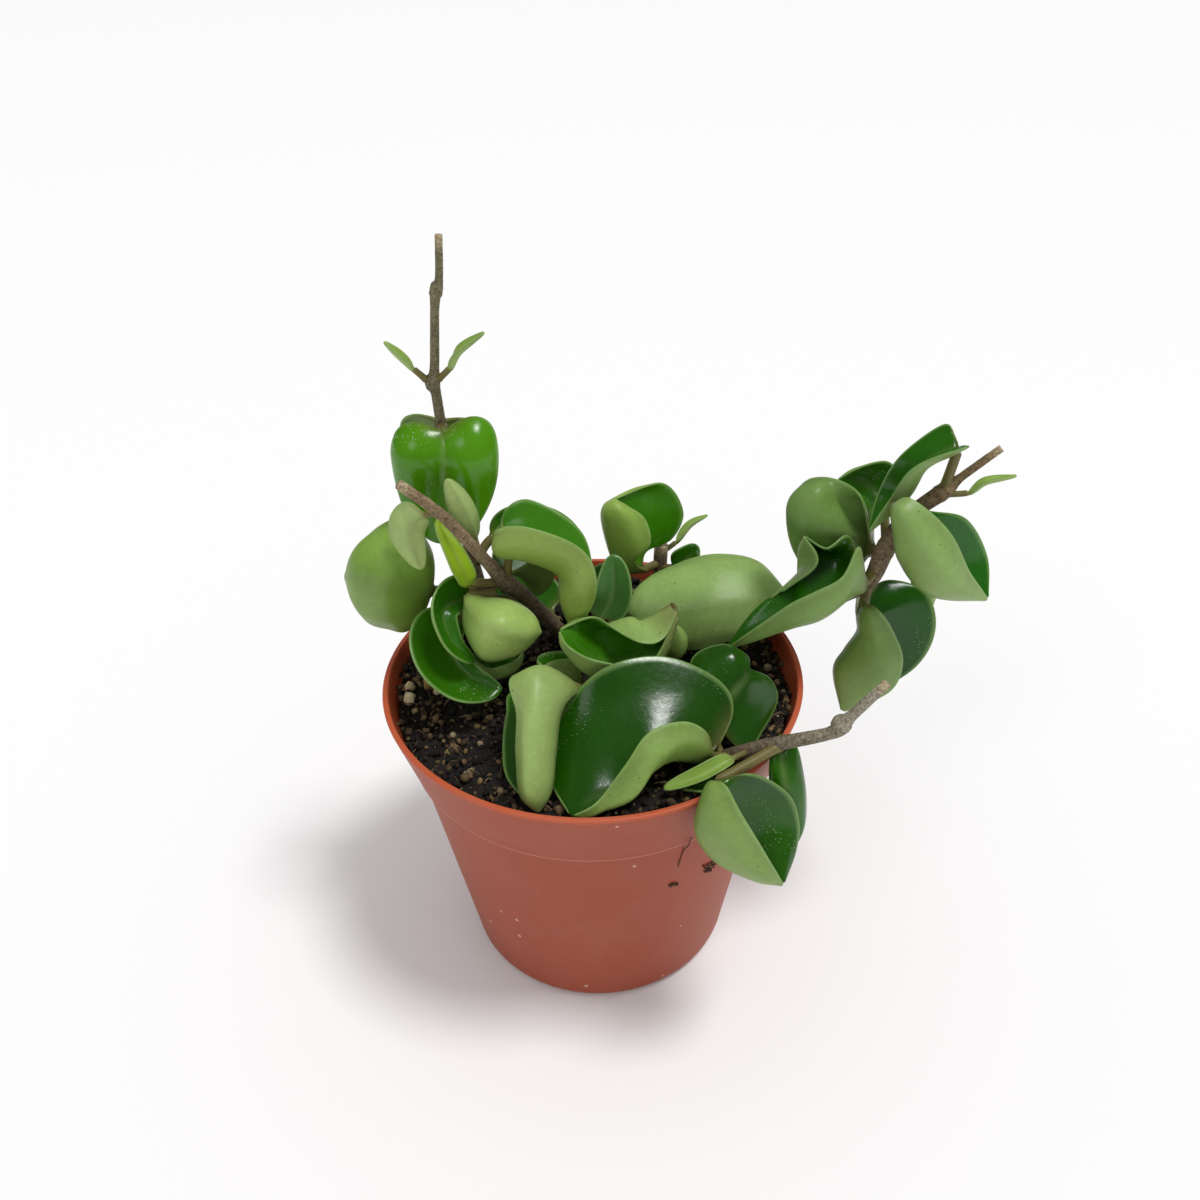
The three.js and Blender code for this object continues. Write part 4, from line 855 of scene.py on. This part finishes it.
def pot_profile():
    """The pot's section as radius and height, from its underside's middle round the rim and back inside.

    It has straight lines, with arcs at the base, the band's step and foot, the lip's edges and the floor.
    """
    step, foot, lip, inner_lip, floor_round = 0.25, 0.45, 0.55, 0.3, 2
    low, inner = FLOOR + floor_round, RIM_RADIUS - RIM_LIP
    corner = wall_radius(BASE_ROUND) - BASE_ROUND

    def arc(x, z, r, start, end, count=6):
        turn = np.radians(np.linspace(start, end, count))
        return np.stack([x + r * np.cos(turn), z + r * np.sin(turn)], -1)

    def line(a, b, count):
        return np.linspace(a, b, count, endpoint=False)[1:]

    return np.concatenate([
        line((0.0, 0.0), (corner, 0), 16),
        arc(corner, BASE_ROUND, BASE_ROUND, -90, -5),
        line((wall_radius(BASE_ROUND), BASE_ROUND), (wall_radius(BAND_FOOT), BAND_FOOT), 30),
        arc(wall_radius(BAND_FOOT) + step, BAND_FOOT - step, step, 180, 90, 4),
        arc(BAND_FOOT_RADIUS - foot, BAND_FOOT + foot, foot, -90, 0, 5),
        line((BAND_FOOT_RADIUS, BAND_FOOT + 0.8), (RIM_RADIUS - 0.1, POT_HEIGHT - 1), 12),
        arc(RIM_RADIUS - lip, POT_HEIGHT - lip, lip, 0, 90),
        arc(inner + inner_lip, POT_HEIGHT - inner_lip, inner_lip, 90, 180, 4),
        line((inner, POT_HEIGHT - 2 * inner_lip), (BAND_FOOT_RADIUS - WALL, BAND_FOOT + 1.5), 10),
        line((wall_radius(BAND_FOOT) - WALL, BAND_FOOT - 0.5), (wall_radius(low) - WALL, low), 14),
        arc(wall_radius(low) - WALL - floor_round, low, floor_round, 0, -90),
        line((wall_radius(FLOOR) - WALL - floor_round - 0.3, FLOOR), (0.0, FLOOR), 10),
    ])


def revolved(name, profile, sides):
    """A profile of radius and height turned once round the Z axis, closed by a middle point at both ends."""
    turn = np.linspace(0, 2 * pi, sides, endpoint=False)
    radius, height = profile[:, :1], profile[:, 1:]
    return skin(name, np.stack([radius * np.cos(turn), radius * np.sin(turn), height + 0 * turn], -1))


def drill_drain_holes(pot):
    """Cuts the round drain holes through the floor, with one Boolean that is then applied."""
    group = bpy.data.collections.new("drain holes")
    profile = np.array([(DRAIN_RADIUS, -FLOOR), (DRAIN_RADIUS, 2 * FLOOR)])
    for i in range(DRAIN_COUNT):
        cutter, turn = revolved(f"drain_{i}", profile, 32), 2 * pi * i / DRAIN_COUNT
        place = DRAIN_CIRCLE * cos(turn) * MM, DRAIN_CIRCLE * sin(turn) * MM, 0
        cutter.data.transform(Matrix.Translation(place))
        bpy.context.scene.collection.objects.unlink(cutter)
        group.objects.link(cutter)
    cut = pot.modifiers.new("drain", "BOOLEAN")
    cut.operation, cut.operand_type, cut.collection, cut.solver = "DIFFERENCE", "COLLECTION", group, "EXACT"
    done = bpy.data.meshes.new_from_object(pot.evaluated_get(bpy.context.evaluated_depsgraph_get()))
    pot.modifiers.clear()
    pot.data = done
    for cutter in list(group.objects):
        bpy.data.objects.remove(cutter)
    bpy.data.collections.remove(group)


def soil_height(x, y):
    """The soil's low swells and crumbs, each a product of two waves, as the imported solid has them."""
    swell = np.sin(SWELL_TURN * x + 0.6) * np.cos(1.2 * SWELL_TURN * y - 0.4)
    crumbs = np.sin(CRUMB_TURN * x + 1.7 * np.sin(0.4 * CRUMB_TURN * y)) * np.sin(CRUMB_TURN * y + 0.8)
    return SOIL_LEVEL + SWELL_HEIGHT * swell + CRUMB_HEIGHT * crumbs


def soil_body():
    """The mix as one closed body: a fine polar grid for its top, its wall inside the pot, and its foot.

    Lumps 6, 2.6, 1.2 and 0.6 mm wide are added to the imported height, and fade out at the wall.
    """
    # The top ends at the wall's inner side 1.5 mm below the soil's level, less the gap
    slope = (RIM_RADIUS - BAND_FOOT_RADIUS) / BAND_HEIGHT
    edge = RIM_RADIUS - WALL - SOIL_GAP - (POT_HEIGHT - SOIL_LEVEL + 1.5) * slope
    turn = np.linspace(0, 2 * pi, 288, endpoint=False)
    radius = np.concatenate([np.linspace(0.3, edge, 110), [edge - 0.2]])[:, None]
    x, y = radius * np.cos(turn), radius * np.sin(turn)
    flat = np.stack([x, y, 0 * x], -1)
    lumps = sum(noise(flat, cell, i) * high for i, (cell, high) in enumerate(
        ((6.0, 0.7), (2.6, 0.7), (1.2, 0.5), (0.6, 0.25))))
    z = soil_height(x, y) + lumps * smooth(edge + 3, edge - 3, radius) - 0.2
    z[-1] = SOIL_LEVEL - 3
    below = np.array([(BAND_FOOT_RADIUS - WALL - 1.4, BAND_FOOT + 2), (BASE_RADIUS - 2, FLOOR + 3),
                      (BASE_RADIUS - 4, FLOOR + 0.6)])[:, :, None]
    low = np.stack([below[:, 0] * np.cos(turn), below[:, 0] * np.sin(turn), below[:, 1] + 0 * turn], -1)
    return skin("potting_mix", np.concatenate([np.stack([x, y, z], -1), low])[::-1])


def on_soil(rng, count, low=0.0, high=57.0):
    """Random places on the soil between two distances from its middle."""
    radius = np.sqrt(rng.uniform(low ** 2, high ** 2, count))
    turn = rng.uniform(0, 2 * pi, count)
    x, y = radius * np.cos(turn), radius * np.sin(turn)
    return np.stack([x, y, soil_height(x, y)], -1)


def rough_stones(name, rng, places, shape, colours):
    """Many small rough stones in one mesh, each an octahedron cut once, with its corners moved at random.

    A stone is stretched by its shape, turned by a random angle about a random axis, and set at its place.
    """
    corner = np.array([(1, 0, 0), (-1, 0, 0), (0, 1, 0), (0, -1, 0), (0, 0, 1), (0, 0, -1)], float)
    faces = [(0, 2, 4), (2, 1, 4), (1, 3, 4), (3, 0, 4), (2, 0, 5), (1, 2, 5), (3, 1, 5), (0, 3, 5)]
    points, cut, middle = [*corner], [], {}
    for a, b, c in faces:
        halves = []
        for pair in ((a, b), (b, c), (c, a)):
            key = tuple(sorted(pair))
            if key not in middle:
                middle[key] = len(points)
                points.append(unit(corner[key[0]] + corner[key[1]]))
            halves.append(middle[key])
        ab, bc, ca = halves
        cut += [(a, ab, ca), (ab, b, bc), (ca, bc, c), (ab, bc, ca)]
    count, size = len(places), len(points)
    stone = np.array(points)[None] * rng.uniform(0.72, 1.18, (count, size, 1)) * shape[:, None, :]
    axis = unit(rng.normal(size=(count, 3)))[:, None]
    angle = rng.uniform(0, 2 * pi, (count, 1, 1))
    turned = stone * np.cos(angle) + np.cross(axis, stone) * np.sin(angle)
    turned += axis * (axis * stone).sum(-1, keepdims=True) * (1 - np.cos(angle))
    faces = (np.array(cut)[None] + np.arange(count)[:, None, None] * size).reshape(-1, 3)
    piece = make_piece(name, (turned + places[:, None]).reshape(-1, 3), faces.tolist())
    paint(piece, Tint=np.repeat(colours, size, 0))
    return piece


def peat_crumbs(rng, count, base):
    """Crumbs of bark and peat 0.3 to 2.4 mm wide that lie on the soil, most of them as dark as the mix."""
    places = on_soil(rng, count)
    size = rng.uniform(0.35, 1.1, count) ** 1.8
    places[:, 2] += 0.35 * size + 0.25
    shape = size[:, None] * rng.uniform(0.6, 1.4, (count, 3))
    colours = mixed(base * 0.7, linear("#8c7249"), rng.uniform(0, 1, count) ** 4)
    return rough_stones("peat_crumbs", rng, places, shape, colours)


def pale_stones(rng):
    """Pumice and clay grit: the pieces that show in the photo, and grit 0.3 to 1 mm wide all over."""
    large, fine = np.array(GRIT), on_soil(rng, FINE_GRIT)
    size = np.concatenate([large[:, 2], rng.uniform(0.15, 0.5, FINE_GRIT)])
    x, y = np.concatenate([large[:, :2], fine[:, :2]]).T
    places = np.stack([x, y, soil_height(x, y) + 0.45 * size], -1)
    shape = size[:, None] * rng.uniform(0.8, 1.15, (len(size), 3))
    colours = mixed(linear("#6d5a3a"), linear("#d9c9a2"), rng.uniform(0, 1, len(size)) ** 2)
    colours[:3] = [linear(shade) for shade in ("#e0cfa8", "#cdb88c", "#a5854e")]
    return rough_stones("grit_stones", rng, places, shape, colours)


def peat_fibres(rng, count, steps=7, sides=3):
    """Bent fibres 2.5 to 8 mm long that lie on the soil, each a thin bar along a curve that rises midway."""
    places = on_soil(rng, count, 4, 55)
    heading = rng.uniform(0, 2 * pi, count)
    length = rng.uniform(2.5, 8, count)
    bend = rng.uniform(-1.2, 1.2, count)
    radius = rng.uniform(0.12, 0.3, count)
    t = np.linspace(-0.5, 0.5, steps)
    angle = heading[:, None] + bend[:, None] * t
    step = length[:, None] / (steps - 1)
    x = places[:, :1] + np.cumsum(np.cos(angle) * step, 1)
    y = places[:, 1:2] + np.cumsum(np.sin(angle) * step, 1)
    inside = np.minimum(1, 56.0 / np.maximum(np.hypot(x, y), 1e-3))
    x, y = x * inside, y * inside
    lift = rng.uniform(0.5, 1.6, count)[:, None] * (1 - (2 * t) ** 2) + 0.5
    line = np.stack([x, y, soil_height(x, y) + lift], -1)
    side = np.stack([-np.sin(angle), np.cos(angle), 0 * angle], -1)
    width = radius[:, None, None] * (1 - 0.6 * np.abs(2 * t))[None, :, None]
    rings = [line + (side * cos(radians(turn)) + np.array((0, 0, 1)) * sin(radians(turn))) * width
             for turn in (90, 210, 330)]
    size = steps * sides
    one = np.arange(size).reshape(steps, sides)
    after = np.roll(one, -1, 1)
    quads = np.stack([one[:-1], one[1:], after[1:], after[:-1]], -1).reshape(-1, 4)
    faces = (quads[None] + size * np.arange(count)[:, None, None]).reshape(-1, 4).tolist()
    ends = (tuple(one[0].tolist()), tuple(one[-1][::-1].tolist()))
    faces += [[size * k + i for i in end] for k in range(count) for end in ends]
    piece = make_piece("peat_fibres", np.stack(rings, 2).reshape(-1, 3), faces)
    colours = mixed(linear("#4a3726"), linear("#a8906a"), rng.uniform(0, 1, count) ** 1.5)
    paint(piece, Tint=np.repeat(colours, size, 0))
    return piece


def wall_crumbs(rng):
    """Dried mud on the wall, in crumbs about 1 mm wide: a clump to the right, and a small one beside it."""
    clump = np.stack([rng.normal(31.5, 1.5, 26), rng.normal(56.5, 1.8, 26)], -1)
    single = np.stack([rng.normal(20.0, 0.5, 7), rng.normal(55.5, 0.6, 7)], -1)
    x, z = np.concatenate([clump, single]).T
    radius = wall_radius(z) + 0.1
    turn = np.arcsin(x / radius)
    places = np.stack([radius * np.sin(turn), -radius * np.cos(turn), z], -1)
    shape = rng.uniform(0.35, 0.8, (len(places), 3))
    colours = mixed(linear("#3a2418"), linear("#8a5a3a"), rng.uniform(0, 0.6, len(places)))
    return rough_stones("wall_mud", rng, places, shape, colours)


def wall_root():
    """A hair of dry root that clings to the band and the wall below it: a thin bar along a line."""
    line = [(24.4, -49.9, 79, 0.1), (23.5, -49.4, 75, 0.16), (22.6, -47.3, 71, 0.16),
            (21.6, -46.9, 66, 0.14), (21.3, -46.7, 63.5, 0.08)]
    rings, _ = swept(line, 8, 8)
    root = skin("wall_root", rings)
    paint(root, Tint=np.tile(linear("#4a2417"), (len(root.data.vertices), 1)))
    return root


def swept(points, sides, rings_per_step, bark=0.0, seed=0):
    """A round bar's rings along a line of x, y, z, radius points, and the length at each ring.

    It has a ring scar on both sides of each swelling, and lumps of bark 1.6 and 0.8 mm wide.
    """
    points = np.asarray(points, float)
    places = np.linspace(0, 1, (len(points) - 1) * rings_per_step + 1)
    centre = smooth_line(points[:, :3], places)
    radius = np.interp(places, np.linspace(0, 1, len(points)), points[:, 3])
    forward, up = carried_frames(centre, 0, np.array((1.0, 0.2, 0.1)))
    length = np.concatenate([[0], np.cumsum(np.linalg.norm(np.diff(centre, axis=0), axis=1))])
    for k in range(1, len(points) - 1):
        if points[k, 3] > max(points[k - 1, 3], points[k + 1, 3]):
            past = length - length[k * rings_per_step]
            radius = radius + SCAR_BELOW * np.exp(-((past + 1.2) / 0.45) ** 2)
            radius = radius + SCAR_ABOVE * np.exp(-((past - 1.0) / 0.4) ** 2)
    turn = np.linspace(0, 2 * pi, sides, endpoint=False)
    circle = circles(up, np.cross(forward, up), turn)
    rings = centre[:, None] + circle * radius[:, None, None]
    lump = noise(rings, 1.6, seed) * 0.7 + noise(rings, 0.8, seed + 1) * 0.5
    return rings + circle * (bark * lump)[..., None], length


# The settings that a user would change

def colour_setting(name, description, hex_colour):
    """A colour that the sidebar shows, with its default."""
    return bpy.props.FloatVectorProperty(name=name, description=description, subtype="COLOR", size=4, min=0,
                                         max=1, default=linear(hex_colour))


class PotSettings(bpy.types.PropertyGroup):
    wall: colour_setting("Wall", "Colour of the pot's wall", "#9e4426")
    # The lip's brighter orange is a painted glow of the light that comes through it
    painted_lip_glow: colour_setting("Rim", "Colour of the thin lip, which light comes through", "#bc5836")
    sides: bpy.props.IntProperty(name="Sides", description="Steps round the pot", default=192, min=24,
                                 max=512)


class SoilSettings(bpy.types.PropertyGroup):
    colour: colour_setting("Mix", "Colour of the potting mix", "#1b1511")
    crumbs: bpy.props.IntProperty(name="Crumbs", description="Loose crumbs on the soil", default=4200, min=0)
    fibres: bpy.props.IntProperty(name="Fibres", description="Thin fibres on the soil", default=150, min=0)


class StemSettings(bpy.types.PropertyGroup):
    bark: colour_setting("Bark", "Colour of the bark", "#7d6e58")
    cut: colour_setting("Cut end", "Colour of a dry cut end", "#cdbd98")
    relief: bpy.props.FloatProperty(name="Relief", description="Height of the bark's lumps, mm",
                                    default=0.03, min=0, max=1)


class LeafSettings(bpy.types.PropertyGroup):
    ripple: bpy.props.FloatProperty(name="Ripple", description="How far the blade waves, mm", default=0.3,
                                    min=0, max=2)
    gloss: bpy.props.FloatProperty(name="Roughness", description="Roughness of the leaf's under side",
                                   default=0.36, min=0, max=1)


class StageSettings(bpy.types.PropertyGroup):
    floor: colour_setting("Floor", "Colour of the floor", "#f6f6f6")
    strength: bpy.props.FloatProperty(name="Sky", description="Strength of the light from all round",
                                      default=0.55, min=0)
    reflected: bpy.props.FloatProperty(name="Sky seen in gloss", default=0.12, min=0,
                                       description="Strength of the sky in reflections")


class PLANT_OT_pot(bpy.types.Operator):
    """Makes the moulded pot with its banded rim and drain holes, and the mud and root that cling to it"""
    bl_idname = "plant.pot"
    bl_label = "Pot"

    def execute(self, context):
        settings = context.scene.plant_pot
        pot = revolved("pot_shell", pot_profile(), settings.sides)
        drill_drain_holes(pot)
        dress(pot, moulded_pot(tuple(settings.wall), tuple(settings.painted_lip_glow)), "pot")
        mud = loose("dried mud", 0.9, 900.0)
        for piece in (wall_crumbs(np.random.default_rng(5)), wall_root()):
            dress(piece, mud)
        return {"FINISHED"}


class PLANT_OT_soil(bpy.types.Operator):
    """Makes the potting mix, with its crumbs, fibres and pale stones"""
    bl_idname = "plant.soil"
    bl_label = "Soil"

    def execute(self, context):
        settings = context.scene.plant_soil
        rng = np.random.default_rng(11)
        base = np.array(tuple(settings.colour))
        soil = soil_body()
        points = np.empty(3 * len(soil.data.vertices), np.float32)
        soil.data.vertices.foreach_get("co", points)
        points = points.reshape(-1, 3).astype(float) / MM
        patch = noise(points, 4.0, 3) * 0.35 + noise(points, 1.2, 4) * 0.45 + 1
        paint(soil, Tint=base * patch[:, None])
        dress(soil, loose("moist peat", 0.85, 1400.0), "soil")
        dress(peat_crumbs(rng, settings.crumbs, base), loose("bark crumbs", 0.85, 1600.0))
        dress(pale_stones(rng), loose("pumice", 0.8, 1100.0))
        dress(peat_fibres(rng, settings.fibres), loose("dry fibre", 0.8, 1600.0))
        return {"FINISHED"}


class PLANT_OT_stems(bpy.types.Operator):
    """Makes the woody stems, with ring scars at their nodes and pale cut ends"""
    bl_idname = "plant.stems"
    bl_label = "Stems"

    def execute(self, context):
        settings = context.scene.plant_stems
        material = corky_stem()
        for seed, (name, points) in enumerate(STEMS.items()):
            rings, length = swept(points, STEM_SIDES, STEM_RINGS, settings.relief, seed)
            stem = skin("stem_" + name, rings)
            # The cut end's pale colour reaches 4 mm down, and the shade varies in patches 5 mm wide
            near_end = smooth(4.0, 0.2, length[-1] - length)[:, None]
            young = smooth(0.35, 1.0, length / length[-1])[:, None]
            shade = noise(rings, 5.0, seed + 20) * 0.25 + 1
            tint = mixed(tuple(settings.bark), linear(STEM_YOUNG[name]), young + 0 * shade)
            tint = mixed(tint * shade[..., None], tuple(settings.cut), near_end + 0 * shade)
            paint(stem, Tint=tint)
            dress(stem, material, "stem_" + name)
        return {"FINISHED"}


class PLANT_OT_leaves(bpy.types.Operator):
    """Makes every leaf: a folded and curled blade, waxy above and pale below, on its stalk"""
    bl_idname = "plant.leaves"
    bl_label = "Leaves"

    def execute(self, context):
        settings = context.scene.plant_leaves
        grown = waxy_leaf("waxy leaf", settings.gloss, 0.5, 0.9)
        young = waxy_leaf("young leaf", settings.gloss + 0.15, 0.2, 0.3)
        for seed, (name, shape) in enumerate(LEAVES.items()):
            node, ripple = "leaf_" + name, settings.ripple
            if "young" in name:
                piece = leaf_piece(name, shape, YOUNG_LEAF, seed, YOUNG_RIPPLE * ripple, YOUNG_SLIM)
                dress(piece, young, node)
            else:
                piece = leaf_piece(name, shape, LEAF_COLOURS.get(name, USUAL_LEAF), seed, ripple, 1)
                dress(piece, grown, node)
        return {"FINISHED"}


class PLANT_OT_stage(bpy.types.Operator):
    """Makes the pale floor, the soft studio lights and the camera"""
    bl_idname = "plant.stage"
    bl_label = "Stage"

    def execute(self, context):
        settings = context.scene.plant_stage
        link = context.scene.collection.objects.link
        sheet = bpy.data.meshes.new("floor")
        turn = np.linspace(0, 2 * pi, 64, endpoint=False)
        edge = np.stack([np.cos(turn), np.sin(turn), 0 * turn], -1) * FLOOR_RADIUS
        sheet.from_pydata(edge.tolist(), [], [tuple(range(len(turn)))])
        floor = bpy.data.objects.new("floor", sheet)
        link(floor)
        material, tree = new_material("matt white paper")
        shader = add(tree, "BsdfPrincipled", {"Base Color": tuple(settings.floor), "Roughness": 0.9})
        add(tree, "OutputMaterial", (shader,))
        floor.data.materials.append(material)

        # The sky is weaker in reflections than as a light, so that a waxy leaf mirrors no white room
        world = bpy.data.worlds.new("studio")
        world.use_nodes = True
        background = world.node_tree.nodes["Background"]
        background.inputs["Color"].default_value = (1, 1, 1, 1)
        shine = add(world.node_tree, "LightPath").outputs["Is Glossy Ray"]
        dim = add(world.node_tree, "MapRange", {"Value": shine, "To Min": settings.strength,
                                                "To Max": settings.reflected})
        world.node_tree.links.new(dim.outputs[0], background.inputs["Strength"])
        context.scene.world = world

        for name, (way, width, strength) in LIGHTS.items():
            lamp = bpy.data.lights.new(name, "SUN")
            lamp.angle, lamp.energy = radians(width), strength
            stand = bpy.data.objects.new(name, lamp)
            stand.matrix_world = Vector(way).to_track_quat("Z", "Y").to_matrix().to_4x4()
            link(stand)

        lens = bpy.data.cameras.new("camera")
        lens.lens, lens.sensor_width = CAMERA_LENS, SENSOR
        lens.clip_start, lens.clip_end = 0.01, 100.0
        camera = bpy.data.objects.new("camera", lens)
        # A camera looks straight down until it is turned: here by its tilt, then upward, then to its side
        view = Matrix.Translation(CAMERA_PLACE)
        for angle, axis in ((-CAMERA_YAW, "Z"), (90 - CAMERA_DOWN, "X"), (CAMERA_TILT, "Z")):
            view = view @ Matrix.Rotation(radians(angle), 4, axis)
        camera.matrix_world = view
        link(camera)
        context.scene.camera = camera
        context.scene.view_settings.view_transform = "Standard"
        return {"FINISHED"}


class PLANT_PT_panel(bpy.types.Panel):
    """Lists the pieces in the sidebar, each with its settings"""
    bl_idname = "PLANT_PT_panel"
    bl_label = "Hindu rope plant"
    bl_space_type = "VIEW_3D"
    bl_region_type = "UI"
    bl_category = "Plant"

    def draw(self, context):
        for name, (group, operator) in PARTS.items():
            column = self.layout.column(align=True)
            column.operator(operator.bl_idname)
            for key in group.__annotations__:
                column.prop(getattr(context.scene, name), key)


# Each part's name on the scene, with its settings and its operator
PARTS = {
    "plant_pot": (PotSettings, PLANT_OT_pot),
    "plant_soil": (SoilSettings, PLANT_OT_soil),
    "plant_stems": (StemSettings, PLANT_OT_stems),
    "plant_leaves": (LeafSettings, PLANT_OT_leaves),
    "plant_stage": (StageSettings, PLANT_OT_stage),
}
CLASSES = (*(item for pair in PARTS.values() for item in pair), PLANT_PT_panel)


def register():
    for item in CLASSES:
        bpy.utils.register_class(item)
    for name, (group, _) in PARTS.items():
        setattr(bpy.types.Scene, name, bpy.props.PointerProperty(type=group))


def unregister():
    for name in PARTS:
        delattr(bpy.types.Scene, name)
    for item in reversed(CLASSES):
        bpy.utils.unregister_class(item)


def main():
    """Makes the object and its stage."""
    register()
    bpy.ops.plant.pot()
    bpy.ops.plant.soil()
    bpy.ops.plant.stems()
    bpy.ops.plant.leaves()
    bpy.ops.plant.stage()


if __name__ == "__main__":
    main()
